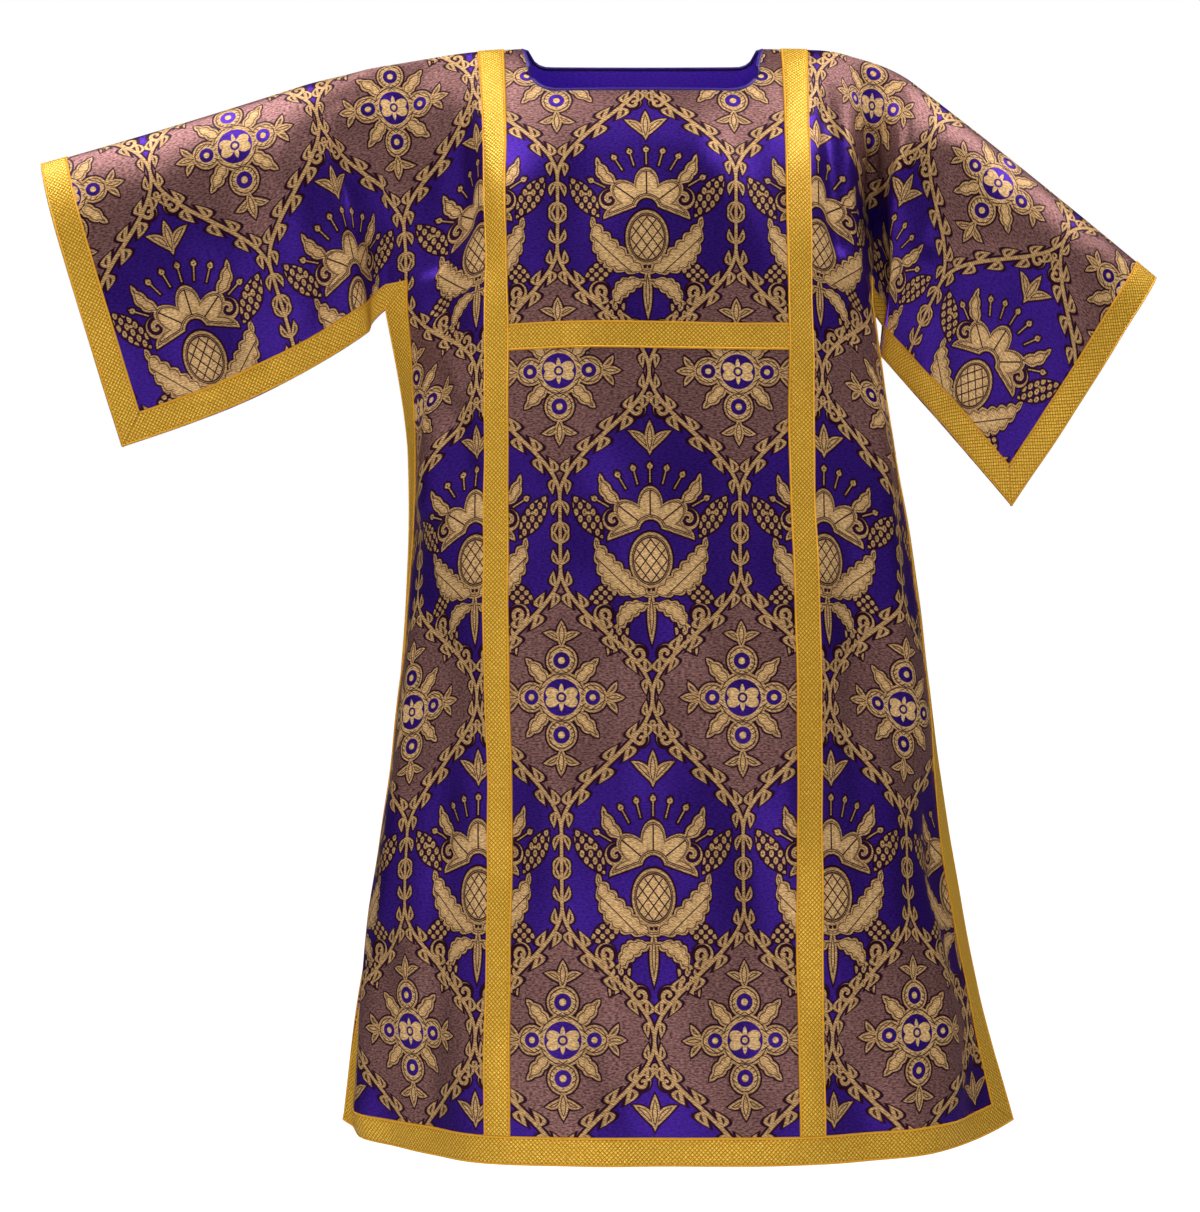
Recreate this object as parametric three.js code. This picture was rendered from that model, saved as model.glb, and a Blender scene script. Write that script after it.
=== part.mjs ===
// A tunicle: a wide, open-sided church vestment cut in one with its sleeves, worn by nobody.
//
// The garment is drawn flat first. On the flat cut u runs across from the centre line, to the
// right as the front is looked at, and v runs down from the shoulder and sleeve-top seam.
// place() then gives each flat point its place on the hanging garment. Front and back are two
// grids of such points, and everything sewn on them is made from the same points, moved out.
//
// Millimetres, +Z up, front towards -Y. The origin lies midway between the two neck points.
import * as THREE from "three";

const { lerp, degToRad, smoothstep, clamp } = THREE.MathUtils;
const { sin, cos, min, max, abs, exp, log, hypot } = Math;

// ---- Driving sizes of the flat cut ----
const LENGTH = 1250; // shoulder seam to hem
const SPAN = 700; // centre line to cuff edge
const CHEST = 320; // half width at the armpit
const SKIRT = 450; // half width at the hem
const ARMPIT = 290; // depth from the shoulder seam to the armpit
const CUFF = 342; // depth of the sleeve at the cuff
const BRAID = 30; // width of the galloon
const CLAVUS = 170; // centre line to the middle of each upright galloon
const CROSS_BAND = 360; // top edge of the galloon across the breast and the back
const NECK_HALF = 136;
const NECK_EDGE_LEAN = 8; // how much the neck narrows towards its corners
const SHOULDER_SHIFT = -3; // the neck sits this much aside of the centre line below
const NECK = { front: { depth: 86, corner: 32 }, back: { depth: 35, corner: 22 } };

// ---- Thicknesses ----
const CLOTH = 2; // brocade, interlining and lining together
const GALLOON = 1;
const FACING = 1;
const GAP = 0.3; // between pieces that are sewn together
const MITRE_GAP = 0.2; // each side of a mitre or a butt joint
const EDGE_APART = 3; // each side's open edge to the middle plane
const BINDING = { apart: 0.4, width: 4.4, under: 2.7, over: 1.1 };
const FACING_DEPTH_ROW = 4;

// ---- The two sleeves, each with its own pose ----
// The ridge is the line of the shoulder and sleeve top: level, then a bend, then straight.
const SIDES = {
  left: {
    sign: -1,
    bendFrom: 168,
    bendTo: 380,
    slopeStart: degToRad(3),
    slopeEnd: degToRad(17.8),
    swing: -40, // how far the cuff is swung, backwards if positive
    hang: degToRad(16), // how far the sleeve's depth leans in from upright
    takeUp: 11, // cloth taken up in the fold at the shoulder
    arm: 40, // how far each sleeve face stands out over the arm
    tuckTop: 225, // where along the ridge the sleeve starts to leave the body
    tuckLean: 0.43, // how much further out that is for each millimetre down
    tuckSoft: 30, // how softly it leaves
    blendTop: [235, 400],
    blendArmpit: [320, 410],
    sag: 17, // the under-sleeve edge droops this much midway
    gathered: 10, // and is gathered up by this much at the armpit
    gatheredCuff: 0,
  },
  right: {
    sign: 1,
    bendFrom: 196,
    bendTo: 302,
    slopeStart: degToRad(0.8),
    slopeEnd: degToRad(37.5),
    swing: 38,
    hang: degToRad(32.5),
    takeUp: 38,
    arm: 46,
    tuckTop: 225,
    tuckLean: 0.76,
    tuckSoft: 56,
    blendTop: [262, 345],
    blendArmpit: [320, 430],
    sag: -8,
    gathered: 10,
    gatheredCuff: 17,
  },
};

// ---- Level sections of the body ----
// left, right: where the open side edges hang. middle: the centre line. front, back: how deep.
// turnLeft, turnRight: how far the cloth has turned away from facing front at its side edge.
const LEVELS = [
  { v: 290, left: -290, right: 254, middle: 1, front: 128, back: 120, turnLeft: 34, turnRight: 100 },
  { v: 420, left: -268, right: 270, middle: 3, front: 136, back: 126, turnLeft: 58, turnRight: 100 },
  { v: 560, left: -263, right: 294, middle: 4, front: 144, back: 134, turnLeft: 84, turnRight: 97 },
  { v: 730, left: -271, right: 316, middle: 6, front: 153, back: 144, turnLeft: 98, turnRight: 86 },
  { v: 920, left: -290, right: 341, middle: 7, front: 164, back: 155, turnLeft: 95, turnRight: 68 },
  { v: 1110, left: -321, right: 376, middle: 8, front: 176, back: 166, turnLeft: 70, turnRight: 65 },
  { v: 1250, left: -338, right: 412, middle: 9, front: 185, back: 174, turnLeft: 50, turnRight: 48 },
];
const SHOULDER_REACH = 340; // over this depth the cloth comes forward to the breast's fullness
const SHOULDER_POWER = 2.2;
const HEM_LEVEL = -1224; // height of the hem at the centre
const HEM_LIFT = 22; // the side corners hang this much higher
const HEM_DIP = 2; // and the hem dips between

// The level sections leave the centre flat over this share of their width, and reach the open
// edge along a handle made of these shares of their depth and width.
const SECTION = { flat: 0.54, depthShare: 0.55, widthShare: 0.4 };
// Between these shares of the half width a rib's fullness passes from the middle's to its own.
const FULLNESS = { from: 0.5, to: 0.95 };
// Past the open edge the body's surface runs on, only to blend into the sleeve.
const BEYOND = { outwards: 0.8, down: 0.4 };
// The sleeve's rib over the arm: fullest at this share of its depth, then flatter to the edge.
const SLEEVE_RIB = { crown: 0.3, closing: 0.93, power: 1.6, leanBefore: 40 };

// ---- Creases: a line on the flat cut, its half width and how far the cloth stands out ----
const CREASE_FADE = { head: 0.4, foot: 0.12 }; // shares of its length over which it comes and goes
const CREASES = {
  front: [
    { u1: -236, v1: 70, u2: -252, v2: 275, width: 26, out: -11 },
    { u1: -270, v1: 310, u2: -262, v2: 560, width: 30, out: 9 },
    { u1: -340, v1: 820, u2: -392, v2: 1270, width: 34, out: 15 },
    { u1: -404, v1: 960, u2: -425, v2: 1270, width: 20, out: -9 },
    { u1: 300, v1: 520, u2: 352, v2: 1270, width: 42, out: 8 },
    { u1: 236, v1: 40, u2: 250, v2: 300, width: 22, out: 8 },
  ],
  back: [
    { u1: -60, v1: 420, u2: -96, v2: 1270, width: 46, out: 9 },
    { u1: 30, v1: 520, u2: 44, v2: 1270, width: 40, out: -8 },
    { u1: 236, v1: 640, u2: 300, v2: 1270, width: 44, out: 11 },
    { u1: -262, v1: 560, u2: -330, v2: 1270, width: 40, out: 10 },
    { u1: 240, v1: 80, u2: 258, v2: 275, width: 26, out: -9 },
    { u1: -240, v1: 80, u2: -256, v2: 275, width: 26, out: -9 },
  ],
};

// ---- The grid of the cut ----
// The columns under the neck: how far along the neck edge each starts, from the neck point (0)
// to the centre (1), and where it has spread to at the yoke's foot.
const NECK_COLUMN = [
  { share: 1, foot: 0 },
  { share: 0.79, foot: 26 },
  { share: 0.58, foot: 52 },
  { share: 0.46, foot: 77 },
  { share: 0.34, foot: 101 },
  { share: 0.17, foot: 122 },
  { share: 0, foot: 141 },
];
const CLAVUS_IN = CLAVUS - BRAID / 2;
const CLAVUS_OUT = CLAVUS + BRAID / 2;
const SIDE_COLUMNS = [CLAVUS_IN, CLAVUS_OUT, 212, 239, 265, CHEST - BRAID, CHEST];
const SLEEVE_COLUMNS = [355, 408, 446, 490, 540, 605, SPAN - BRAID, SPAN];
const YOKE_ROWS = [0, 22, 50, 82, 116, 150];
const ARM_ROWS = [205, ARMPIT - BRAID, ARMPIT];
const BREAST_ROWS = [335, CROSS_BAND, CROSS_BAND + BRAID];
const SKIRT_ROWS = [475, 545, 615, 690, 770, 850, 930, 1010, 1090, 1158];
const HEM_ROWS = [LENGTH - BRAID, LENGTH];
const ROWS = [...YOKE_ROWS, ...ARM_ROWS, ...BREAST_ROWS, ...SKIRT_ROWS, ...HEM_ROWS];
const NECK_COLUMNS = NECK_COLUMN.length - 1; // the column of the neck point
const CLAVUS_COLUMN = NECK_COLUMNS + 1;
const BODY_COLUMNS = NECK_COLUMNS + SIDE_COLUMNS.length; // the column of the open side
const LAST_COLUMN = BODY_COLUMNS + SLEEVE_COLUMNS.length;
const YOKE = YOKE_ROWS[YOKE_ROWS.length - 1];
const ARMPIT_ROW = ROWS.indexOf(ARMPIT);
const CROSS_ROW = ROWS.indexOf(CROSS_BAND);
const HEM_ROW = ROWS.indexOf(LENGTH - BRAID);

// ---- Small helpers ----

// A value between the rows of a table, on a smooth curve through them.
function track(key, v) {
  const last = LEVELS.length - 1;
  const at = clamp(v, LEVELS[0].v, LEVELS[last].v);
  const i = clamp(LEVELS.findIndex((row) => row.v >= at), 1, last);
  const slope = (k) => {
    const a = LEVELS[max(k - 1, 0)];
    const b = LEVELS[min(k + 1, last)];
    return (b[key] - a[key]) / (b.v - a.v);
  };
  const [a, b] = [LEVELS[i - 1], LEVELS[i]];
  const span = b.v - a.v;
  const t = (at - a.v) / span;
  const rise = t * t * (3 - 2 * t);
  const fromA = span * slope(i - 1) * t * (1 - t) * (1 - t);
  const fromB = span * slope(i) * t * t * (1 - t);
  return lerp(a[key], b[key], rise) + fromA - fromB;
}

// How far down a rib has come after v of cloth, when it leaves the ridge forwards at `steep`
// and turns upright over `reach`, its slope falling off as a power.
function fallen(v, steep, reach, power) {
  const s = 1 - min(v / reach, 1);
  const two = 2 * power + 1;
  const four = 4 * power + 1;
  const lost = (0.5 * steep ** 2 * (1 - s ** two)) / two + (0.3 * steep ** 4 * (1 - s ** four)) / four;
  return reach * (1 - s - lost) + max(v - reach, 0);
}

const sideOf = (u) => (u < 0 ? SIDES.left : SIDES.right);
const skirtHalf = (v) => lerp(CHEST, SKIRT, clamp((v - ARMPIT) / (LENGTH - ARMPIT), 0, 1));
const sleeveShare = (u) => clamp((u - CHEST) / (SPAN - CHEST), 0, 1);
const sleeveDepth = (u) => lerp(ARMPIT, CUFF, sleeveShare(u));

// ---- The form ----

// The shoulder and sleeve-top line, at a distance u along it from the centre.
function ridge(side, along) {
  const u = along - side.takeUp * smoothstep(along, side.bendFrom, side.bendTo);
  const bend = side.bendTo - side.bendFrom;
  const turned = clamp((u - side.bendFrom) / bend, 0, 1);
  const slope = lerp(side.slopeStart, side.slopeEnd, turned);
  const radius = bend / (side.slopeEnd - side.slopeStart);
  const level = min(u, side.bendFrom) - NECK_HALF;
  const beyond = max(u - side.bendTo, 0);
  const x = min(u, side.bendFrom) + radius * (sin(slope) - sin(side.slopeStart));
  const z = -max(level, 0) * sin(side.slopeStart) - radius * (cos(side.slopeStart) - cos(slope));
  const outwards = clamp((along - side.bendFrom) / (SPAN - side.bendFrom), 0, 1);
  return new THREE.Vector3(
    side.sign * (x + beyond * cos(slope)),
    side.swing * outwards ** 3,
    z - beyond * sin(slope),
  );
}

// A level section of one side of the body, from the centre line to the open edge: a curve that
// starts facing front and ends turned away, read by how far along the cloth a point lies. What
// the cloth has over the curve's own length is taken up beyond the upright galloons.
const SECTION_STEPS = 32;
const sections = new Map();

function sectionOf(side, level, face) {
  const name = [side.sign, level, face].join();
  if (sections.has(name)) return sections.get(name);
  const middle = track("middle", level);
  const depth = track(face, level);
  const across = abs(track(side.sign < 0 ? "left" : "right", level) - middle);
  const turn = degToRad(track(side.sign < 0 ? "turnLeft" : "turnRight", level));
  const handle =
    SECTION.depthShare * depth * sin(turn) + SECTION.widthShare * across * max(cos(turn), 0);
  const curve = new THREE.CubicBezierCurve(
    new THREE.Vector2(0, depth),
    new THREE.Vector2(SECTION.flat * across, depth),
    new THREE.Vector2(across - handle * cos(turn), EDGE_APART + handle * sin(turn)),
    new THREE.Vector2(across, EDGE_APART),
  );
  curve.arcLengthDivisions = SECTION_STEPS;
  const section = { curve, middle, depth, length: curve.getLength() };
  sections.set(name, section);
  return section;
}

function sectionPoint(section, u, half) {
  const spare = half - section.length;
  const aside = max(u - CLAVUS_OUT, 0) / (half - CLAVUS_OUT);
  return section.curve.getPointAt(clamp((u - spare * aside ** 2) / section.length, 0, 1));
}

// The body at a distance u from its centre line and a depth v.
function bodyPoint(side, u, v, face) {
  const half = skirtHalf(v);
  const share = min(u / half, 1);
  const section = sectionOf(side, max(v, ARMPIT), face);
  const { x, y: out } = sectionPoint(section, min(u, half), half);
  const top = ridge(side, (u * CHEST) / half);
  const full = 1 - (1 - min(v / SHOULDER_REACH, 1)) ** SHOULDER_POWER;
  const reach = lerp(section.depth, out, smoothstep(share, FULLNESS.from, FULLNESS.to));
  const steep = min((SHOULDER_POWER * reach) / SHOULDER_REACH, 1);
  const drop = (w) => fallen(w, steep, SHOULDER_REACH, SHOULDER_POWER - 1);
  const hem = HEM_LEVEL + HEM_LIFT * share ** 5 - 4 * HEM_DIP * share ** 2 * (1 - share ** 2);
  const beyond = max(u - half, 0);
  const across = lerp(top.x + SHOULDER_SHIFT, section.middle + side.sign * x, full);
  return new THREE.Vector3(
    across + side.sign * BEYOND.outwards * beyond,
    (face === "front" ? -out : out) * full + top.y * (1 - full),
    top.z + ((hem - top.z) * drop(v)) / drop(LENGTH) - BEYOND.down * beyond,
  );
}

// The sleeve, hanging from its own stretch of the ridge.
function sleevePoint(side, u, v, face) {
  const start = side.tuckTop + side.tuckLean * v;
  const along = start + side.tuckSoft * log(1 + exp((u - start) / side.tuckSoft));
  const top = ridge(side, along);
  const depth = sleeveDepth(u);
  const q = v / depth;
  const { crown, closing, power, leanBefore } = SLEEVE_RIB;
  const past = max((q - crown) / (1 - crown), 0);
  const bulge = q < crown ? 1 - (1 - q / crown) ** 2 : 1 - closing * past ** power;
  const out = side.arm * bulge;
  const steep = min((2 * side.arm) / (crown * depth), 1);
  const share = sleeveShare(u);
  const longer = side.sag * sin(Math.PI * share) - lerp(side.gathered, side.gatheredCuff, share);
  const down = fallen(v, steep, crown * depth, 1) + longer * q;
  const lean = side.hang * smoothstep(along, side.bendFrom - leanBefore, side.bendTo);
  return new THREE.Vector3(
    top.x - side.sign * sin(lean) * down,
    top.y + (face === "front" ? -out : out),
    top.z - cos(lean) * down,
  );
}

// Where a point of the flat cut hangs.
function place(u, v, face) {
  const side = sideOf(u);
  const out = abs(u);
  if (out <= skirtHalf(v) && v > ARMPIT) return bodyPoint(side, out, v, face);
  const low = smoothstep(v, 0, ARMPIT);
  const from = lerp(side.blendTop[0], side.blendArmpit[0], low);
  const to = lerp(side.blendTop[1], side.blendArmpit[1], low);
  const body = bodyPoint(side, out, v, face);
  return body.lerp(sleevePoint(side, out, v, face), smoothstep(out, from, to));
}

// How far the creases lift the cloth at a flat point.
function creased(u, v, face) {
  let out = 0;
  for (const c of CREASES[face]) {
    const [du, dv] = [c.u2 - c.u1, c.v2 - c.v1];
    const length = hypot(du, dv);
    const along = ((u - c.u1) * du + (v - c.v1) * dv) / length;
    const aside = ((u - c.u1) * dv - (v - c.v1) * du) / length;
    const head = smoothstep(along, 0, length * CREASE_FADE.head);
    const foot = smoothstep(length - along, 0, length * CREASE_FADE.foot);
    out += c.out * head * foot * exp(-((aside / c.width) ** 2));
  }
  return out;
}

// ---- The panels ----

// A point of the neck edge, at a share of its length from the neck point to the centre.
function neckPoint(share, neck) {
  const flat = NECK_HALF - NECK_EDGE_LEAN - neck.corner;
  const arc = (Math.PI / 2) * neck.corner;
  const sideways = neck.depth - neck.corner;
  let at = share * (sideways + arc + flat);
  if (at <= sideways) return [NECK_HALF - (NECK_EDGE_LEAN * at) / sideways, at];
  at -= sideways;
  if (at <= arc) {
    const angle = at / neck.corner;
    return [flat + neck.corner * cos(angle), sideways + neck.corner * sin(angle)];
  }
  return [flat + arc - at, neck.depth];
}

// The flat place of the grid's row i and column j.
function flatPoint(i, j, face) {
  const [column, sign] = [abs(j), j < 0 ? -1 : 1];
  const v = ROWS[i];
  if (column > BODY_COLUMNS) {
    const u = SLEEVE_COLUMNS[column - BODY_COLUMNS - 1];
    const inner = ARMPIT - BRAID;
    const deep = i === ARMPIT_ROW ? sleeveDepth(u) : (v * (sleeveDepth(u) - BRAID)) / inner;
    return [sign * u, deep];
  }
  if (column === BODY_COLUMNS) return [sign * skirtHalf(v), v];
  if (column > NECK_COLUMNS) {
    const u = SIDE_COLUMNS[column - NECK_COLUMNS - 1];
    if (u <= CLAVUS_OUT) return [sign * u, v];
    const share = (u - CLAVUS_OUT) / (CHEST - BRAID - CLAVUS_OUT);
    return [sign * lerp(CLAVUS_OUT, skirtHalf(v) - BRAID, share), v];
  }
  const { share, foot } = NECK_COLUMN[column];
  if (v >= YOKE) return [sign * foot, v];
  const [neckU, neckV] = neckPoint(share, NECK[face]);
  return [sign * lerp(neckU, foot, v / YOKE), lerp(neckV, YOKE, v / YOKE)];
}

const key = (i, j) => i + "," + j;

// The two triangles of the cell below and to the right of (i, j). They meet on the diagonal
// from its inner top corner to its outer bottom corner, as the galloons' mitres do.
function cellTriangles(i, j, face) {
  const [a, b, c, d] = [key(i, j), key(i + 1, j), key(i + 1, j + 1), key(i, j + 1)];
  const low = j >= 0 ? [a, b, c] : [b, c, d];
  const high = j >= 0 ? [a, c, d] : [a, b, d];
  const facing = (t) => (face === "front" ? t : [t[0], t[2], t[1]]);
  return { low: facing(low), high: facing(high) };
}

function makePanel(face) {
  const points = new Map();
  const triangles = [];
  const cells = new Map();
  for (let i = 0; i < ROWS.length; i++) {
    const reach = i <= ARMPIT_ROW ? LAST_COLUMN : BODY_COLUMNS;
    for (let j = -reach; j <= reach; j++) {
      const [u, v] = flatPoint(i, j, face);
      points.set(key(i, j), { u, v, p: place(u, v, face), n: new THREE.Vector3() });
      const below = i < ARMPIT_ROW ? LAST_COLUMN : BODY_COLUMNS;
      if (i === ROWS.length - 1 || j < -below || j >= below) continue;
      const cell = cellTriangles(i, j, face);
      cells.set(key(i, j), cell);
      triangles.push(cell.low, cell.high);
    }
  }
  addNormals(points, triangles);
  for (const at of points.values()) at.p.addScaledVector(at.n, creased(at.u, at.v, face));
  addNormals(points, triangles);
  return { face, points, triangles, cells };
}

function addNormals(points, triangles) {
  for (const at of points.values()) at.n.set(0, 0, 0);
  for (const [a, b, c] of triangles) {
    const [pa, pb, pc] = [a, b, c].map((name) => points.get(name).p);
    const n = pb.clone().sub(pa).cross(pc.clone().sub(pa));
    for (const name of [a, b, c]) points.get(name).n.add(n);
  }
  for (const at of points.values()) at.n.normalize();
}

// Front and back meet along the seam with one common normal, half a gap apart each.
function joinSeam(front, back) {
  for (let j = NECK_COLUMNS; j <= LAST_COLUMN; j++) {
    for (const name of [key(0, j), key(0, -j)]) {
      const [f, b] = [front.points.get(name), back.points.get(name)];
      const n = f.n.clone().add(b.n).normalize();
      const p = f.p.clone().add(b.p).multiplyScalar(0.5);
      f.n.copy(n);
      b.n.copy(n);
      f.p.copy(p).setY(p.y - GAP / 2);
      b.p.copy(p).setY(p.y + GAP / 2);
    }
  }
}

// ---- Solids ----

// A closed wall over some of the points' triangles, from one height over them to another.
function wall(points, triangles, low, high) {
  const order = new Map();
  for (const name of triangles.flat()) if (!order.has(name)) order.set(name, order.size);
  const count = order.size;
  const position = new Float32Array(6 * count);
  for (const [name, i] of order) {
    const { p, n } = points.get(name);
    p.clone().addScaledVector(n, high).toArray(position, 3 * i);
    p.clone().addScaledVector(n, low).toArray(position, 3 * (i + count));
  }
  const index = [];
  const edges = new Set();
  for (const [a, b, c] of triangles.map((t) => t.map((name) => order.get(name)))) {
    index.push(a, b, c, a + count, c + count, b + count);
    for (const [from, to] of [[a, b], [b, c], [c, a]]) edges.add(from + ">" + to);
  }
  for (const edge of edges) {
    const [from, to] = edge.split(">").map(Number);
    if (edges.has(to + ">" + from)) continue;
    index.push(to, from, from + count, to, from + count, to + count);
  }
  const geometry = new THREE.BufferGeometry();
  geometry.setAttribute("position", new THREE.BufferAttribute(position, 3));
  geometry.setIndex(index);
  return geometry;
}

// A galloon on a panel: its triangles, and points pulled a little along the cloth to leave gaps.
function galloon(panel) {
  const band = { points: new Map(panel.points), triangles: [] };
  return {
    ...band,
    cover(i, j, part) {
      const cell = panel.cells.get(key(i, j));
      if (part !== "high") band.triangles.push(cell.low);
      if (part !== "low") band.triangles.push(cell.high);
    },
    pull([i, j], [towardsI, towardsJ]) {
      const a = panel.points.get(key(i, j));
      const b = panel.points.get(key(towardsI, towardsJ));
      const share = MITRE_GAP / a.p.distanceTo(b.p);
      const moved = { p: a.p.clone().lerp(b.p, share), n: a.n.clone().lerp(b.n, share).normalize() };
      band.points.set(key(i, j), moved);
    },
  };
}

// Grid columns are mirrored by sign: column k on the right is -k on the left, and the cell
// between columns k and k + 1 starts at -k - 1 there.
const cellColumn = (sign, k) => (sign > 0 ? k : -k - 1);

function hemBand(panel) {
  const band = galloon(panel);
  for (let j = -BODY_COLUMNS; j < BODY_COLUMNS; j++) {
    const corner = j === -BODY_COLUMNS || j === BODY_COLUMNS - 1;
    band.cover(HEM_ROW, j, corner ? "low" : "whole");
  }
  for (const sign of [-1, 1]) {
    band.pull([HEM_ROW, sign * (BODY_COLUMNS - 1)], [HEM_ROW, sign * (BODY_COLUMNS - 2)]);
    band.pull([HEM_ROW + 1, sign * BODY_COLUMNS], [HEM_ROW + 1, sign * (BODY_COLUMNS - 1)]);
  }
  return band;
}

function sideBand(panel, sign) {
  const band = galloon(panel);
  const edge = sign * BODY_COLUMNS;
  const inner = sign * (BODY_COLUMNS - 1);
  const column = cellColumn(sign, BODY_COLUMNS - 1);
  band.cover(ARMPIT_ROW - 1, column, "low");
  for (let i = ARMPIT_ROW; i < HEM_ROW; i++) band.cover(i, column, "whole");
  band.cover(HEM_ROW, column, "high");
  band.pull([ARMPIT_ROW - 1, inner], [ARMPIT_ROW, inner]);
  band.pull([ARMPIT_ROW, edge], [ARMPIT_ROW + 1, edge]);
  band.pull([HEM_ROW, inner], [HEM_ROW - 1, inner]);
  band.pull([HEM_ROW + 1, edge], [HEM_ROW, edge]);
  return band;
}

function undersleeveBand(panel, sign) {
  const band = galloon(panel);
  const row = ARMPIT_ROW - 1;
  band.cover(row, cellColumn(sign, BODY_COLUMNS - 1), "high");
  for (let k = BODY_COLUMNS; k < LAST_COLUMN - 1; k++) band.cover(row, cellColumn(sign, k), "whole");
  band.cover(row, cellColumn(sign, LAST_COLUMN - 1), "low");
  band.pull([row, sign * (BODY_COLUMNS - 1)], [row, sign * BODY_COLUMNS]);
  band.pull([row + 1, sign * BODY_COLUMNS], [row + 1, sign * (BODY_COLUMNS + 1)]);
  band.pull([row, sign * (LAST_COLUMN - 1)], [row, sign * (LAST_COLUMN - 2)]);
  band.pull([row + 1, sign * LAST_COLUMN], [row + 1, sign * (LAST_COLUMN - 1)]);
  return band;
}

function crossBand(panel) {
  const band = galloon(panel);
  for (let j = -CLAVUS_COLUMN; j < CLAVUS_COLUMN; j++) band.cover(CROSS_ROW, j, "whole");
  for (const sign of [-1, 1]) {
    for (const i of [CROSS_ROW, CROSS_ROW + 1]) {
      band.pull([i, sign * CLAVUS_COLUMN], [i, sign * (CLAVUS_COLUMN - 1)]);
    }
  }
  return band;
}

function clavusHalf(panel, sign) {
  const band = galloon(panel);
  for (let i = 0; i < HEM_ROW; i++) band.cover(i, cellColumn(sign, CLAVUS_COLUMN), "whole");
  for (const k of [CLAVUS_COLUMN, CLAVUS_COLUMN + 1]) {
    band.pull([HEM_ROW, sign * k], [HEM_ROW - 1, sign * k]);
  }
  return band;
}

function cuffHalf(panel, sign) {
  const band = galloon(panel);
  const column = cellColumn(sign, LAST_COLUMN - 1);
  const row = ARMPIT_ROW - 1;
  for (let i = 0; i < row; i++) band.cover(i, column, "whole");
  band.cover(row, column, "high");
  band.pull([row, sign * (LAST_COLUMN - 1)], [row - 1, sign * (LAST_COLUMN - 1)]);
  band.pull([row + 1, sign * LAST_COLUMN], [row, sign * LAST_COLUMN]);
  return band;
}

// Two halves of a galloon that runs over the seam, sharing their points on it.
function overSeam(front, back) {
  const points = new Map();
  const rename = (name, face) => (name.startsWith("0,") ? "seam" + name : face + name);
  for (const [band, face] of [[front, "front"], [back, "back"]]) {
    for (const [name, at] of band.points) {
      const shared = rename(name, face);
      const first = points.get(shared);
      points.set(shared, first ? { p: first.p.clone().lerp(at.p, 0.5), n: at.n } : at);
    }
  }
  const triangles = [
    ...front.triangles.map((t) => t.map((name) => rename(name, "front"))),
    ...back.triangles.map((t) => t.map((name) => rename(name, "back"))),
  ];
  return { points, triangles };
}

const galloonWall = ({ points, triangles }) => wall(points, triangles, GAP, GAP + GALLOON);

// The lining's facing inside the back of the neck, just under the back panel.
function facingWall(panel) {
  const triangles = [];
  for (let i = 0; i < FACING_DEPTH_ROW; i++) {
    for (let j = -NECK_COLUMNS; j < NECK_COLUMNS; j++) {
      const cell = panel.cells.get(key(i, j));
      triangles.push(cell.low, cell.high);
    }
  }
  return wall(panel.points, triangles, -CLOTH - GAP - FACING, -CLOTH - GAP);
}

// The rolled binding: a ring round the neck, just past the edges of both panels.
function bindingRing(front, back) {
  const at = (panel, j) => panel.points.get(key(0, j));
  const stations = [];
  for (let j = -NECK_COLUMNS + 1; j < NECK_COLUMNS; j++) stations.push(at(front, j));
  stations.push(midpoint(at(front, NECK_COLUMNS), at(back, NECK_COLUMNS)));
  for (let j = NECK_COLUMNS - 1; j > -NECK_COLUMNS; j--) stations.push(at(back, j));
  stations.push(midpoint(at(front, -NECK_COLUMNS), at(back, -NECK_COLUMNS)));
  const { apart, width, under, over } = BINDING;
  const shoulder = apart + width * 0.7;
  const section = [
    [apart, -under],
    [shoulder, -under],
    [apart + width, -under / 2],
    [apart + width, 0],
    [shoulder, over],
    [apart, over],
  ];
  const count = stations.length;
  const position = [];
  const index = [];
  stations.forEach((station, k) => {
    const before = stations[(k + count - 1) % count].p;
    const after = stations[(k + 1) % count].p;
    const tangent = after.clone().sub(before).normalize();
    const inwards = station.n.clone().cross(tangent).normalize();
    for (const [aside, up] of section) {
      position.push(...station.p.clone().addScaledVector(inwards, aside).addScaledVector(station.n, up));
    }
    for (let s = 0; s < section.length; s++) {
      const next = (s + 1) % section.length;
      const [a, b] = [k * section.length + s, k * section.length + next];
      const [c, d] = [((k + 1) % count) * section.length + next, ((k + 1) % count) * section.length + s];
      index.push(a, b, c, a, c, d);
    }
  });
  const geometry = new THREE.BufferGeometry();
  geometry.setAttribute("position", new THREE.Float32BufferAttribute(position, 3));
  geometry.setIndex(index);
  return geometry;
}

const midpoint = (a, b) => ({ p: a.p.clone().lerp(b.p, 0.5), n: a.n });

// ---- The garment ----
const MATERIALS = {
  brocade: new THREE.MeshStandardMaterial({ color: 0x3b2458, roughness: 0.5, metalness: 0.05 }),
  galloon: new THREE.MeshStandardMaterial({ color: 0xc9932c, roughness: 0.42, metalness: 0.35 }),
  lining: new THREE.MeshStandardMaterial({ color: 0x37188c, roughness: 0.55, metalness: 0 }),
  binding: new THREE.MeshStandardMaterial({ color: 0x34187a, roughness: 0.45, metalness: 0 }),
};

const garment = new THREE.Group();

function add(name, geometry, material) {
  const mesh = new THREE.Mesh(geometry, material);
  mesh.name = name;
  garment.add(mesh);
}

const front = makePanel("front");
const back = makePanel("back");
joinSeam(front, back);

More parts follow.
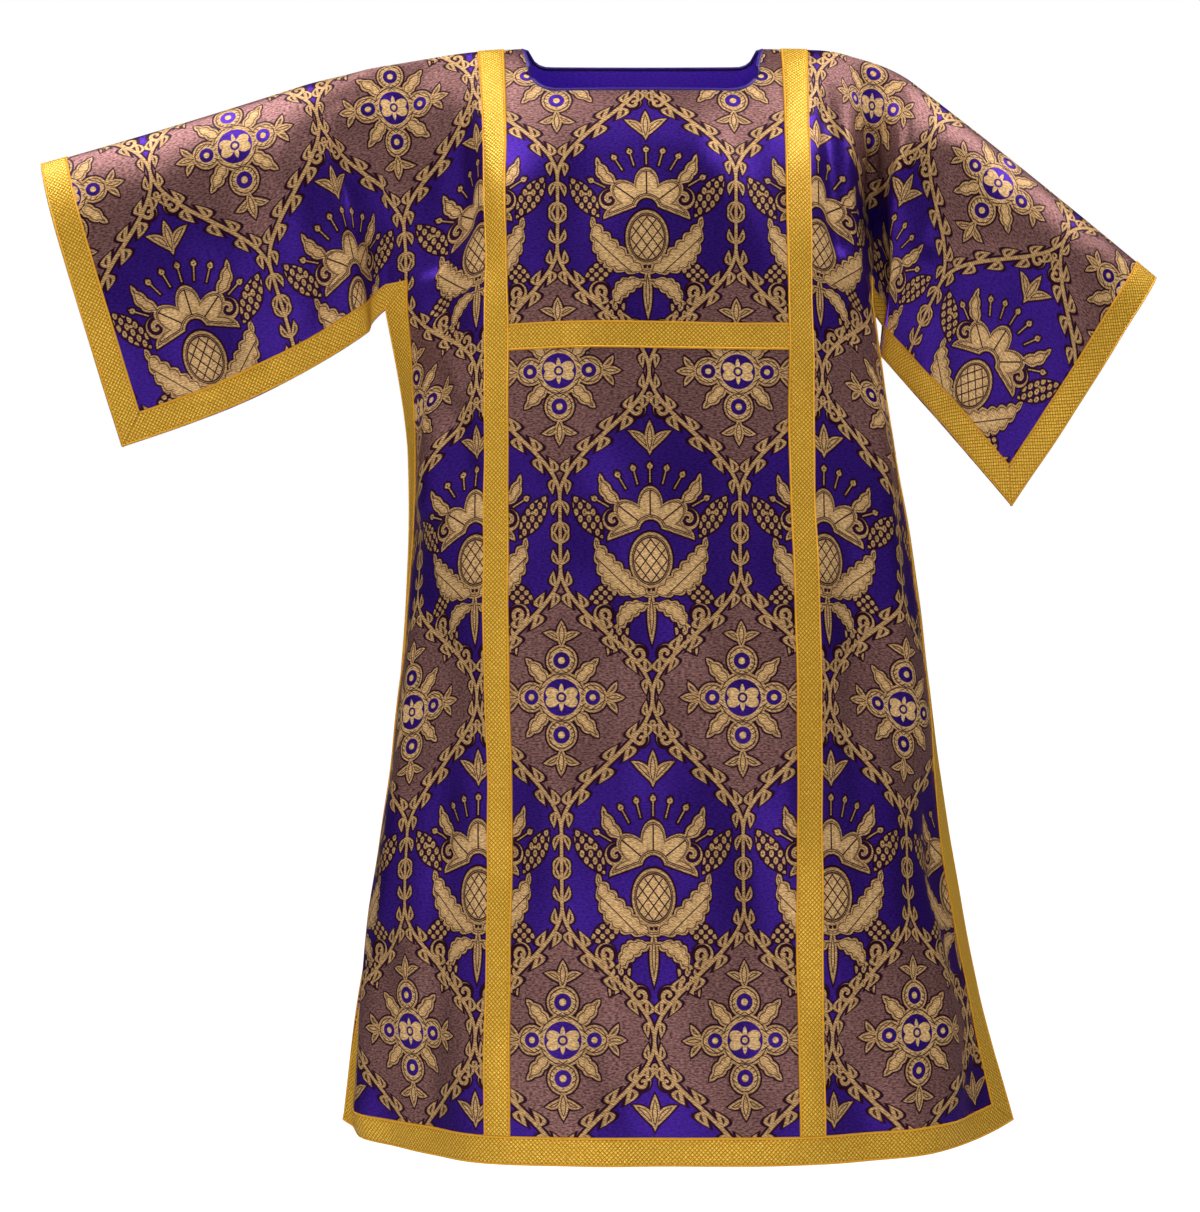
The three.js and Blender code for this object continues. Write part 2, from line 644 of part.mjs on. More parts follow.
for (const panel of [front, back]) {
  add(panel.face, wall(panel.points, panel.triangles, -CLOTH, 0), MATERIALS.brocade);
  add("hem_band_" + panel.face, galloonWall(hemBand(panel)), MATERIALS.galloon);
  add("cross_band_" + panel.face, galloonWall(crossBand(panel)), MATERIALS.galloon);
  for (const [name, side] of Object.entries(SIDES)) {
    const where = panel.face + "_" + name;
    add("side_band_" + where, galloonWall(sideBand(panel, side.sign)), MATERIALS.galloon);
    add("undersleeve_band_" + where, galloonWall(undersleeveBand(panel, side.sign)), MATERIALS.galloon);
  }
}
for (const [name, { sign }] of Object.entries(SIDES)) {
  const clavus = overSeam(clavusHalf(front, sign), clavusHalf(back, sign));
  const cuff = overSeam(cuffHalf(front, sign), cuffHalf(back, sign));
  add("clavus_" + name, galloonWall(clavus), MATERIALS.galloon);
  add("cuff_band_" + name, galloonWall(cuff), MATERIALS.galloon);
}
add("back_neck_facing", facingWall(back), MATERIALS.lining);
add("neck_binding", bindingRing(front, back), MATERIALS.binding);

export default garment;
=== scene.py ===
"""A tunicle, a brocade church vestment with gold galloon, hanging filled out as it is worn.

The garment is drawn flat first: on its cut, u runs across from the centre line, to the right as
the front is looked at, and v runs down from the shoulder seam. hang() gives each flat point its
place on the hanging garment, in millimetres, and the meshes are made from it in metres.
"""
import math

import bpy
import numpy as np
from bpy.props import FloatProperty, FloatVectorProperty, PointerProperty
from bpy.types import Operator, Panel, PropertyGroup
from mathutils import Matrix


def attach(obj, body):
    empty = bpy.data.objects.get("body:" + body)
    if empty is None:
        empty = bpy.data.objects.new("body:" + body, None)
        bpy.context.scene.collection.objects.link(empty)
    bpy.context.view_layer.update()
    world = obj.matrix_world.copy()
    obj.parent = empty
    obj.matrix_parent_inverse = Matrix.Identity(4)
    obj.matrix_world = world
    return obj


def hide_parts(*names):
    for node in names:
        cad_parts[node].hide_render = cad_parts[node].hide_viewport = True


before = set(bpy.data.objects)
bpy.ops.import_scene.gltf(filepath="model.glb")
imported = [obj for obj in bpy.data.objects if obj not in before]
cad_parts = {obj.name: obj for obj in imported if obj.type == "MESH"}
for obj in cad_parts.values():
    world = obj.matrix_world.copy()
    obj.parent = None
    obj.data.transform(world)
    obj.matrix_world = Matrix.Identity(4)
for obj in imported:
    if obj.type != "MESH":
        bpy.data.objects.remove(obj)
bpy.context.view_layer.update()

bl_info = {
    "name": "Tunicle",
    "version": (1, 0, 0),
    "blender": (4, 5, 0),
    "location": "View3D > Sidebar > Tunicle",
    "description": "Brocade tunicle with gold galloon, as it hangs when worn",
    "category": "Add Mesh",
}

MM = 0.001
TINY = 1e-9  # the grid's lines are told apart by more than this

# ---- The flat cut ----
LENGTH = 1250.0  # shoulder seam to hem
SPAN = 700.0  # centre line to cuff edge
CHEST = 320.0  # half width at the armpit
SKIRT = 450.0  # half width at the hem
ARMPIT = 290.0  # depth from the shoulder seam to the armpit
CUFF = 342.0  # depth of the sleeve at the cuff
BRAID = 30.0  # width of the galloon
CLAVUS = 170.0  # centre line to the middle of each upright galloon
CROSS_BAND = 360.0  # top edge of the galloon across the breast and the back
NECK_HALF = 136.0
NECK_EDGE_LEAN = 8.0
SHOULDER_SHIFT = -3.0
NECK = {"front": (86.0, 32.0), "back": (35.0, 22.0)}  # depth, corner radius
EDGE_APART = 3.0  # each side's open edge to the middle plane
SEAM_GAP = 0.15  # each panel's edge to the middle of the shoulder seam

# ---- The pose of each sleeve, on the left (-1) and the right (1) of the front ----
SIDES = {
    -1: dict(
        bend_from=168.0, bend_to=380.0, slope_start=math.radians(3), slope_end=math.radians(17.8),
        swing=-40.0, lean=math.radians(16), take_up=11.0, arm=40.0,
        tuck_top=225.0, tuck_lean=0.43, tuck_soft=30.0,
        blend_top=(235.0, 400.0), blend_armpit=(320.0, 410.0),
        sag=17.0, gathered=10.0, gathered_cuff=0.0,
    ),
    1: dict(
        bend_from=196.0, bend_to=302.0, slope_start=math.radians(0.8), slope_end=math.radians(37.5),
        swing=38.0, lean=math.radians(32.5), take_up=38.0, arm=46.0,
        tuck_top=225.0, tuck_lean=0.76, tuck_soft=56.0,
        blend_top=(262.0, 345.0), blend_armpit=(320.0, 430.0),
        sag=-8.0, gathered=10.0, gathered_cuff=17.0,
    ),
}

# ---- Level sections of the body: where its side edges hang, how deep it is, how far it turns ----
LEVEL = np.array([290, 420, 560, 730, 920, 1110, 1250], float)
LEVELS = {
    "left": np.array([-290, -268, -263, -271, -290, -321, -338], float),
    "right": np.array([254, 270, 294, 316, 341, 376, 412], float),
    "middle": np.array([1, 3, 4, 6, 7, 8, 9], float),
    "front": np.array([128, 136, 144, 153, 164, 176, 185], float),
    "back": np.array([120, 126, 134, 144, 155, 166, 174], float),
    "turn_left": np.array([34, 58, 84, 98, 95, 70, 50], float),
    "turn_right": np.array([100, 100, 97, 86, 68, 65, 48], float),
}
SHOULDER_REACH = 340.0
SHOULDER_POWER = 2.2
HEM_LEVEL = -1224.0
HEM_LIFT = 22.0
HEM_DIP = 2.0
SECTION_FLAT, SECTION_DEPTH_SHARE, SECTION_WIDTH_SHARE = 0.54, 0.55, 0.4
FULLNESS_FROM, FULLNESS_TO = 0.5, 0.95
BEYOND_OUTWARDS, BEYOND_DOWN = 0.8, 0.4
RIB_CROWN, RIB_CLOSING, RIB_POWER, LEAN_BEFORE = 0.3, 0.93, 1.6, 40.0
SEAM_SOFT = 26.0  # the crest over the shoulder seam is rounded within this depth

# ---- Main creases, as (u1, v1, u2, v2, half width, how far the cloth stands out) ----
CREASES = {
    "front": [
        (-236, 70, -252, 275, 26, -11),
        (-270, 310, -262, 560, 30, 9),
        (-340, 820, -392, 1270, 34, 15),
        (-404, 960, -425, 1270, 20, -9),
        (300, 520, 352, 1270, 42, 8),
        (236, 40, 250, 300, 22, 8),
    ],
    "back": [
        (-60, 420, -96, 1270, 46, 9),
        (30, 520, 44, 1270, 40, -8),
        (236, 640, 300, 1270, 44, 11),
        (-262, 560, -330, 1270, 40, 10),
        (240, 80, 258, 275, 26, -9),
        (-240, 80, -256, 275, 26, -9),
    ],
}
CREASE_HEAD, CREASE_FOOT = 0.4, 0.12
# Finer ones, which only the cloth's own surface shows.
FOLDS = {
    "front": [
        (-296, 24, -326, 225, 24, 9.0),
        (-208, 16, -222, 262, 21, -9.5),
        (-366, 50, -380, 270, 18, -8.5),
        (-424, 20, -466, 280, 24, 7.0),
        (-496, 60, -536, 310, 22, -6.0),
        (-568, 30, -604, 320, 28, 6.0),
        (-640, 110, -612, 335, 20, -3.0),
        (-290, 262, -216, 440, 16, 8.0),
        (-268, 300, -202, 540, 15, -7.0),
        (-290, 600, -330, 1030, 22, 8.0),
        (-226, 640, -262, 1240, 24, -8.0),
        (-98, 460, -112, 1240, 32, 6.5),
        (-32, 620, -44, 1240, 28, -6.0),
        (36, 420, 32, 1240, 32, 4.5),
        (96, 500, 110, 1240, 28, -6.0),
        (140, 430, 148, 1000, 16, 2.8),
        (214, 380, 236, 1000, 20, -7.0),
        (262, 340, 296, 780, 17, 7.5),
        (330, 780, 390, 1250, 22, -8.0),
        (262, 860, 284, 1240, 22, 6.5),
        (208, 30, 222, 280, 15, -8.0),
        (296, 40, 308, 226, 16, -9.0),
        (360, 30, 402, 262, 20, 8.5),
        (430, 50, 448, 190, 20, -7.0),
        (438, 190, 442, 345, 17, 4.5),
        (500, 20, 524, 310, 24, 6.5),
        (590, 50, 576, 325, 24, -5.5),
        (66, 120, 72, 340, 34, 2.4),
        (-78, 110, -70, 350, 30, -2.6),
        (0, 130, -6, 350, 30, 1.8),
    ],
    "back": [
        (-300, 50, -326, 250, 18, 5.5),
        (-380, 60, -410, 270, 18, -5.0),
        (-460, 40, -486, 280, 22, 4.0),
        (-560, 60, -570, 310, 24, -3.5),
        (-640, 100, -616, 330, 20, 3.0),
        (300, 50, 322, 240, 16, 6.0),
        (370, 60, 400, 260, 17, -5.0),
        (460, 40, 484, 290, 22, 4.5),
        (560, 80, 562, 320, 24, -3.5),
        (-170, 380, -196, 1200, 28, -7.5),
        (120, 420, 140, 1240, 30, 7.5),
        (200, 330, 226, 760, 20, -7.0),
        (-230, 330, -258, 700, 18, 7.0),
        (-290, 262, -226, 430, 13, -4.0),
        (262, 270, 204, 460, 13, 4.5),
        (-356, 800, -400, 1250, 22, -7.5),
        (352, 820, 400, 1250, 22, 7.5),
        (84, 640, 96, 1240, 24, -3.6),
        (-124, 700, -140, 1240, 22, 3.4),
        (-10, 150, -14, 520, 36, 2.6),
    ],
}
# Slow swells of the whole cloth, as (waves a metre across, waves a metre down, start, height).
SWELLS = [
    (2.3, 1.1, 0.4, 2.2),
    (-3.7, 1.9, 2.1, 2.6),
    (5.9, 2.3, 4.0, 1.9),
    (-8.3, 3.7, 1.3, 1.2),
    (4.1, 8.7, 0.7, 0.7),
    (11.9, -5.3, 2.6, 0.5),
]
SWELL_SHIFT = {"front": 0.0, "back": 1.7}  # added to their start on each face
SWELL_EDGE, SWELL_EDGE_SHARE = 90.0, 0.2  # near an open edge the swells sink to this share
# Depths over which swells begin under the seam, and under the neck, and where the neck ends.
SWELLS_UNDER_SEAM, SWELLS_UNDER_NECK, NECK_ZONE = (20, 120), (90, 200), (140, 220)
# The tuck over each armpit, which stays free of folds and swells: (u, v, radii across, down).
TUCK = (360.0, 265.0, 80.0, 95.0)
TUCK_FREE, TUCK_FULL = 0.6, 1.4  # in its radii: free up to here, and full from here

# ---- The grid of the cut: the lines on which the galloons' edges lie ----
NECK_SHARE = [1, 0.79, 0.58, 0.46, 0.34, 0.17, 0]
NECK_FOOT = [0, 26, 52, 77, 101, 122, 141]
CLAVUS_IN, CLAVUS_OUT = CLAVUS - BRAID / 2, CLAVUS + BRAID / 2
SIDE_COLUMNS = [CLAVUS_IN, CLAVUS_OUT, 212, 239, 265, CHEST - BRAID, CHEST]
SLEEVE_COLUMNS = [355, 408, 446, 490, 540, 605, SPAN - BRAID, SPAN]
ROWS = [0, 22, 50, 82, 116, 150, 205, ARMPIT - BRAID, ARMPIT, 335, CROSS_BAND, CROSS_BAND + BRAID]
ROWS += [475, 545, 615, 690, 770, 850, 930, 1010, 1090, 1158, LENGTH - BRAID, LENGTH]
NECK_COLUMN = len(NECK_SHARE) - 1  # the column of the neck point
CLAVUS_COLUMN = NECK_COLUMN + 1
BODY_COLUMN = NECK_COLUMN + len(SIDE_COLUMNS)  # the column of the open side
LAST_COLUMN = BODY_COLUMN + len(SLEEVE_COLUMNS)
YOKE = 150.0
ARMPIT_ROW = ROWS.index(ARMPIT)
CROSS_ROW = ROWS.index(CROSS_BAND)
HEM_ROW = ROWS.index(LENGTH - BRAID)
FACING_ROW = 4


def smoothstep(x, low, high):
    t = np.clip((x - low) / (high - low), 0, 1)
    return t * t * (3 - 2 * t)


def mix(a, b, share):
    return a + (b - a) * share


def unit(vectors):
    """Vectors, each at length one."""
    return vectors / np.linalg.norm(vectors, axis=-1, keepdims=True)


# ---- The form of the hanging cloth ----


def track(name, v):
    """A value of the level sections at depth v, on a smooth curve through the table."""
    table = LEVELS[name]
    last = len(LEVEL) - 1
    at = np.clip(v, LEVEL[0], LEVEL[-1])
    i = np.clip(np.searchsorted(LEVEL, at), 1, last)

    def slope(k):
        low, high = np.maximum(k - 1, 0), np.minimum(k + 1, last)
        return (table[high] - table[low]) / (LEVEL[high] - LEVEL[low])

    span = LEVEL[i] - LEVEL[i - 1]
    t = (at - LEVEL[i - 1]) / span
    bow = span * slope(i - 1) * t * (1 - t) ** 2 - span * slope(i) * t * t * (1 - t)
    return mix(table[i - 1], table[i], t * t * (3 - 2 * t)) + bow


def skirt_half(v):
    return mix(CHEST, SKIRT, np.clip((v - ARMPIT) / (LENGTH - ARMPIT), 0, 1))


def sleeve_share(u):
    return np.clip((u - CHEST) / (SPAN - CHEST), 0, 1)


def sleeve_depth(u):
    return mix(ARMPIT, CUFF, sleeve_share(u))


def fallen(v, steep, reach, bent):
    """How far down v of cloth has come, when it leaves the ridge forwards and turns upright.

    At the ridge it leans by steep, and less with the share of reach still to go, to the power bent."""
    s = 1 - np.minimum(v / reach, 1)
    two, four = 2 * bent + 1, 4 * bent + 1
    lost = 0.5 * steep**2 * (1 - s**two) / two + 0.3 * steep**4 * (1 - s**four) / four
    return reach * (1 - s - lost) + np.maximum(v - reach, 0)


def ridge(sign, along):
    """The shoulder and sleeve-top line at a distance along it: x outwards, y and z."""
    s = SIDES[sign]
    bend = s["bend_to"] - s["bend_from"]
    u = along - s["take_up"] * smoothstep(along, s["bend_from"], s["bend_to"])
    slope = mix(s["slope_start"], s["slope_end"], np.clip((u - s["bend_from"]) / bend, 0, 1))
    radius = bend / (s["slope_end"] - s["slope_start"])
    level = np.maximum(np.minimum(u, s["bend_from"]) - NECK_HALF, 0)
    beyond = np.maximum(u - s["bend_to"], 0)
    start = s["slope_start"]
    x = np.minimum(u, s["bend_from"]) + radius * (np.sin(slope) - math.sin(start))
    z = -level * math.sin(start) - radius * (math.cos(start) - np.cos(slope))
    share = np.clip((along - s["bend_from"]) / (SPAN - s["bend_from"]), 0, 1)
    return sign * (x + beyond * np.cos(slope)), s["swing"] * share**3, z - beyond * np.sin(slope)


SECTION_STEP = 6.0
SECTION_SHARES = np.linspace(0, 1, 129)  # where each half section is measured


def section_table(sign, face):
    """The half sections of the body, one for each few millimetres of height, by share of arc."""
    levels = np.arange(ARMPIT, LENGTH + SECTION_STEP, SECTION_STEP)
    depth = track(face, levels)
    edge = track("left" if sign < 0 else "right", levels)
    across = np.abs(edge - track("middle", levels))
    turn = np.radians(track("turn_left" if sign < 0 else "turn_right", levels))
    handle = SECTION_DEPTH_SHARE * depth * np.sin(turn)
    handle = handle + SECTION_WIDTH_SHARE * across * np.maximum(np.cos(turn), 0)
    x = [0 * across, SECTION_FLAT * across, across - handle * np.cos(turn), across]
    y = [depth, depth, EDGE_APART + handle * np.sin(turn), EDGE_APART + 0 * across]

    def curve(values, t):
        a, b, c, d = [value[:, None] for value in values]
        return a * (1 - t) ** 3 + 3 * b * t * (1 - t) ** 2 + 3 * c * t * t * (1 - t) + d * t**3

    t = SECTION_SHARES[None, :]
    arc = np.hypot(np.diff(curve(x, t)), np.diff(curve(y, t))).cumsum(axis=1)
    arc = np.hstack([np.zeros((len(levels), 1)), arc])
    length = arc[:, -1]
    at = np.array([np.interp(SECTION_SHARES, a / a[-1], t[0]) for a in arc])
    return {"x": curve(x, at), "y": curve(y, at), "length": length, "levels": levels}


SECTIONS = {(sign, face): section_table(sign, face) for sign in SIDES for face in NECK}


def between(table, a, b):
    """A table read between its rows and columns."""
    i = np.clip(np.floor(a).astype(int), 0, table.shape[0] - 2)
    j = np.clip(np.floor(b).astype(int), 0, table.shape[1] - 2)
    s, t = (a - i), (b - j)
    if table.ndim > 2:
        s, t = s[..., None], t[..., None]
    top = mix(table[i, j], table[i, j + 1], t)
    return mix(top, mix(table[i + 1, j], table[i + 1, j + 1], t), s)


def body_point(sign, u, v, face):
    """The body at a distance u from its centre line and a depth v."""
    table = SECTIONS[sign, face]
    level = np.maximum(v, ARMPIT)
    half = skirt_half(v)
    inside = np.minimum(u, half)
    length = np.interp(level, table["levels"], table["length"])
    aside = np.maximum(inside - CLAVUS_OUT, 0) / (half - CLAVUS_OUT)
    along = np.clip((inside - (half - length) * aside**2) / length, 0, 1)
    row, column = (level - ARMPIT) / SECTION_STEP, along * (len(SECTION_SHARES) - 1)
    x, out = between(table["x"], row, column), between(table["y"], row, column)
    top_x, top_y, top_z = ridge(sign, u * CHEST / half)
    full = 1 - (1 - np.minimum(v / SHOULDER_REACH, 1)) ** SHOULDER_POWER
    share = np.minimum(u / half, 1)
    reach = mix(track(face, level), out, smoothstep(share, FULLNESS_FROM, FULLNESS_TO))
    steep = np.minimum(SHOULDER_POWER * reach / SHOULDER_REACH, 1)
    drop = fallen(v, steep, SHOULDER_REACH, SHOULDER_POWER - 1)
    whole = fallen(LENGTH, steep, SHOULDER_REACH, SHOULDER_POWER - 1)
    hem = HEM_LEVEL + HEM_LIFT * share**5 - 4 * HEM_DIP * share**2 * (1 - share**2)
    beyond = np.maximum(u - half, 0)
    across = mix(top_x + SHOULDER_SHIFT, track("middle", level) + sign * x, full)
    return np.stack(
        [
            across + sign * BEYOND_OUTWARDS * beyond,
            (-out if face == "front" else out) * full + top_y * (1 - full),
            top_z + (hem - top_z) * drop / whole - BEYOND_DOWN * beyond,
        ],
        axis=-1,
    )


def sleeve_point(sign, u, v, face):
    """The sleeve, hanging from its own stretch of the ridge."""
    s = SIDES[sign]
    start = s["tuck_top"] + s["tuck_lean"] * v
    along = start + s["tuck_soft"] * np.log1p(np.exp((u - start) / s["tuck_soft"]))
    top_x, top_y, top_z = ridge(sign, along)
    depth = sleeve_depth(u)
    q = v / depth
    past = np.maximum((q - RIB_CROWN) / (1 - RIB_CROWN), 0)
    crown = 1 - (1 - np.minimum(q / RIB_CROWN, 1)) ** 2
    out = s["arm"] * np.where(q < RIB_CROWN, crown, 1 - RIB_CLOSING * past**RIB_POWER)
    steep = np.minimum(2 * s["arm"] / (RIB_CROWN * depth), 1)
    share = sleeve_share(u)
    longer = s["sag"] * np.sin(math.pi * share) - mix(s["gathered"], s["gathered_cuff"], share)
    down = fallen(v, steep, RIB_CROWN * depth, 1) + longer * q
    lean = s["lean"] * smoothstep(along, s["bend_from"] - LEAN_BEFORE, s["bend_to"])
    return np.stack(
        [
            top_x - sign * np.sin(lean) * down,
            top_y + (-out if face == "front" else out),
            top_z - np.cos(lean) * down,
        ],
        axis=-1,
    )


def hang(u, v, face):
    """Where points of the flat cut hang."""
    points = np.empty(u.shape + (3,))
    for sign in SIDES:
        here = (u < 0) if sign < 0 else (u >= 0)
        out, depth = np.abs(u[here]), v[here]
        s = SIDES[sign]
        low = smoothstep(depth, 0, ARMPIT)
        start = mix(s["blend_top"][0], s["blend_armpit"][0], low)
        end = mix(s["blend_top"][1], s["blend_armpit"][1], low)
        share = smoothstep(out, start, end)
        share[(out <= skirt_half(depth)) & (depth > ARMPIT)] = 0
        body = body_point(sign, out, depth, face)
        points[here] = mix(body, sleeve_point(sign, out, depth, face), share[:, None])
    return points


SEAM_KERNEL = [(-14.0, 0.14), (-7.0, 0.22), (0.0, 0.28), (7.0, 0.22), (14.0, 0.14)]


def hang_over_seam(u, v, face):
    """hang(), with the crest over the shoulder seam rounded."""
    points = hang(u, v, face)
    near = v < SEAM_SOFT
    other = "back" if face == "front" else "front"
    across, depth = u[near], v[near]
    fade = 1 - depth / SEAM_SOFT
    total = np.zeros((len(across), 3))
    for shift, weight in SEAM_KERNEL:
        w = depth + shift * fade
        same, over = hang(across, np.abs(w), face), hang(across, np.abs(w), other)
        total += weight * np.where(w[:, None] >= 0, same, over)
    points[near] = total
    return points


def raised(u, v, folds):
    """How far folds lift the cloth."""
    out = np.zeros(u.shape)
    for u1, v1, u2, v2, width, height in folds:
        length = math.hypot(u2 - u1, v2 - v1)
        du, dv = (u2 - u1) / length, (v2 - v1) / length
        along = (u - u1) * du + (v - v1) * dv
        aside = (u - u1) * dv - (v - v1) * du
        head = smoothstep(along, 0, length * CREASE_HEAD)
        foot = smoothstep(length - along, 0, length * CREASE_FOOT)
        out += height * head * foot * np.exp(-((aside / width) ** 2))
    return out


def relief(u, v, face):
    """How far creases, folds and slow swells lift the cloth."""
    at_neck = 1 - smoothstep(np.abs(u), *NECK_ZONE)
    begin, full = [mix(*depths, at_neck) for depths in zip(SWELLS_UNDER_SEAM, SWELLS_UNDER_NECK)]
    still = smoothstep(v, begin, full)
    to_edge = np.maximum(skirt_half(v) - np.abs(u), sleeve_depth(np.abs(u)) - v)
    still = still * (SWELL_EDGE_SHARE + (1 - SWELL_EDGE_SHARE) * smoothstep(to_edge, 0, SWELL_EDGE))
    swells = np.zeros(u.shape)
    for across, down, phase, height in SWELLS:
        swells += height * np.sin(2 * math.pi * MM * (across * u + down * v) + phase + SWELL_SHIFT[face])
    from_tuck = np.hypot((np.abs(u) - TUCK[0]) / TUCK[2], (v - TUCK[1]) / TUCK[3])
    fine = raised(u, v, FOLDS[face]) + swells * still
    return raised(u, v, CREASES[face]) + fine * smoothstep(from_tuck, TUCK_FREE, TUCK_FULL)


# ---- The cut and its grid ----


def neck_point(share, face):
    """A point of the neck edge, at a share of its length from the neck point to the centre."""
    depth, corner = NECK[face]
    flat = NECK_HALF - NECK_EDGE_LEAN - corner
    arc, side = math.pi / 2 * corner, depth - corner
    at = share * (side + arc + flat)
    angle = np.clip((at - side) / corner, 0, math.pi / 2)
    u = flat + corner * np.cos(angle) - np.maximum(at - side - arc, 0)
    lean = NECK_EDGE_LEAN * (1 - np.minimum(at / side, 1))
    return u + lean, np.minimum(at, side) + corner * np.sin(angle)


def flat_point(i, j, face):
    """Where row i and column j of the cut lie; both may fall between the grid's lines."""
    k = np.abs(j)
    row_v = np.interp(i, range(len(ROWS)), ROWS)
    share = np.interp(k, range(NECK_COLUMN + 1), NECK_SHARE)
    foot = np.interp(k, range(NECK_COLUMN + 1), NECK_FOOT)
    neck_u, neck_v = neck_point(share, face)
    down = np.clip(row_v / YOKE, 0, 1)
    u = mix(neck_u, foot, down)
    v = np.where(row_v < YOKE, mix(neck_v, YOKE, down), row_v)
    half = skirt_half(row_v)
    inner = CHEST - BRAID
    side = np.interp(k, range(CLAVUS_COLUMN, BODY_COLUMN + 1), SIDE_COLUMNS)
    spread = mix(CLAVUS_OUT, half - BRAID, (side - CLAVUS_OUT) / (inner - CLAVUS_OUT))
    spread = np.where(side > inner, half - BRAID + (side - inner), spread)
    side = np.where(side <= CLAVUS_OUT, side, spread)
    u = np.where(k > NECK_COLUMN, mix(u, side, np.clip(k - NECK_COLUMN, 0, 1)), u)
    v = np.where(k > NECK_COLUMN, row_v, v)
    sleeve = np.interp(k, range(BODY_COLUMN, LAST_COLUMN + 1), [CHEST] + SLEEVE_COLUMNS)
    deep = sleeve_depth(sleeve)
    below = np.clip(i - (ARMPIT_ROW - 1), 0, 1)
    hung = np.minimum(row_v / (ARMPIT - BRAID), 1) * (deep - BRAID) + below * BRAID
    u = np.where(k > BODY_COLUMN, sleeve, u)
    v = np.where(k > BODY_COLUMN, hung, v)
    return np.sign(j) * u, v


def refined(lines, step):
    """Numbers of the grid's lines with others between them, no further apart than step."""
    places = [0.0]
    for k, (a, b) in enumerate(zip(lines[:-1], lines[1:])):
        count = max(1, math.ceil(abs(b - a) / step))
        places += [k + (n + 1) / count for n in range(count)]
    return np.array(places)


class Cloth:
    """One face of the garment as a fine grid: its points, normals and flat places."""

    def __init__(self, face, step):
        self.face = face
        half = refined(NECK_FOOT + SIDE_COLUMNS + SLEEVE_COLUMNS, step)
        self.columns = np.concatenate([-half[:0:-1], half])
        self.rows = refined(ROWS, step)
        i, j = np.meshgrid(self.rows, self.columns, indexing="ij")
        self.u, self.v = flat_point(i, j, face)
        self.points = hang_over_seam(self.u, self.v, face)
        above, body = i <= ARMPIT_ROW + TINY, np.abs(j) <= BODY_COLUMN + TINY
        cell = (above[1:, 1:] & above[1:, :-1]) | (body[1:, 1:] & body[1:, :-1])
        self.cells = np.argwhere(cell)
        self.turned = face == "back"
        self.normals = self.find_normals()
        self.points += self.normals * relief(self.u, self.v, face)[..., None]
        self.normals = self.find_normals()

    def corners(self):
        """The grid's cells as corner numbers, facing outwards."""
        width = len(self.columns)
        a = self.cells[:, 0] * width + self.cells[:, 1]
        quads = np.stack([a, a + width, a + width + 1, a + 1], axis=1)
        return quads[:, ::-1] if self.turned else quads

    def find_normals(self):
        flat = self.points.reshape(-1, 3)
        quads = self.corners()
        a, b, c, d = [flat[quads[:, k]] for k in range(4)]
        area = np.cross(c - a, d - b)
        total = np.zeros_like(flat)
        for k in range(4):
            np.add.at(total, quads[:, k], area)
        length = np.linalg.norm(total, axis=1, keepdims=True)
        return (total / np.maximum(length, TINY)).reshape(self.points.shape)

    def at(self, i, j):
        """Point and normal at row i and column j, between the grid's lines too."""
        a = np.interp(i, self.rows, np.arange(len(self.rows)))
        b = np.interp(j, self.columns, np.arange(len(self.columns)))
        return between(self.points, a, b), unit(between(self.normals, a, b))


def join_seam(front, back):
    """Front and back meet along the shoulder seam with one common normal."""
    seam = np.abs(front.columns) >= NECK_COLUMN - TINY
    n = unit(front.normals[0, seam] + back.normals[0, seam])
    p = (front.points[0, seam] + back.points[0, seam]) / 2
    front.normals[0, seam] = n
    back.normals[0, seam] = n
    front.points[0, seam] = p + [0, -SEAM_GAP, 0]
    back.points[0, seam] = p + [0, SEAM_GAP, 0]


# ---- Meshes ----
SHARP = math.radians(40)
OUTSIDE, INSIDE, AROUND = 0, 1, 2  # where a face of a wall lies


def make_object(name, points, faces, uv, slots, materials):
    """A mesh piece from points in millimetres, with a UV map in metres and material numbers."""
    mesh = bpy.data.meshes.new(name)
    mesh.from_pydata((np.asarray(points) * MM).tolist(), [], [list(map(int, f)) for f in faces])
    for material in materials:
        mesh.materials.append(material)
    mesh.polygons.foreach_set("material_index", np.asarray(slots, np.int32))
    loops = np.empty(len(mesh.loops), np.int32)
    mesh.loops.foreach_get("vertex_index", loops)
    layer = mesh.uv_layers.new(name="Cut")
    layer.data.foreach_set("uv", (np.asarray(uv)[loops] * MM).astype(np.float32).ravel())
    mesh.polygons.foreach_set("use_smooth", np.ones(len(mesh.polygons), bool))
    mesh.set_sharp_from_angle(angle=SHARP)
    mesh.validate()
    mesh.update()
    piece = bpy.data.objects.new(name, mesh)
    bpy.context.scene.collection.objects.link(piece)
    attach(piece, "root")
    return piece


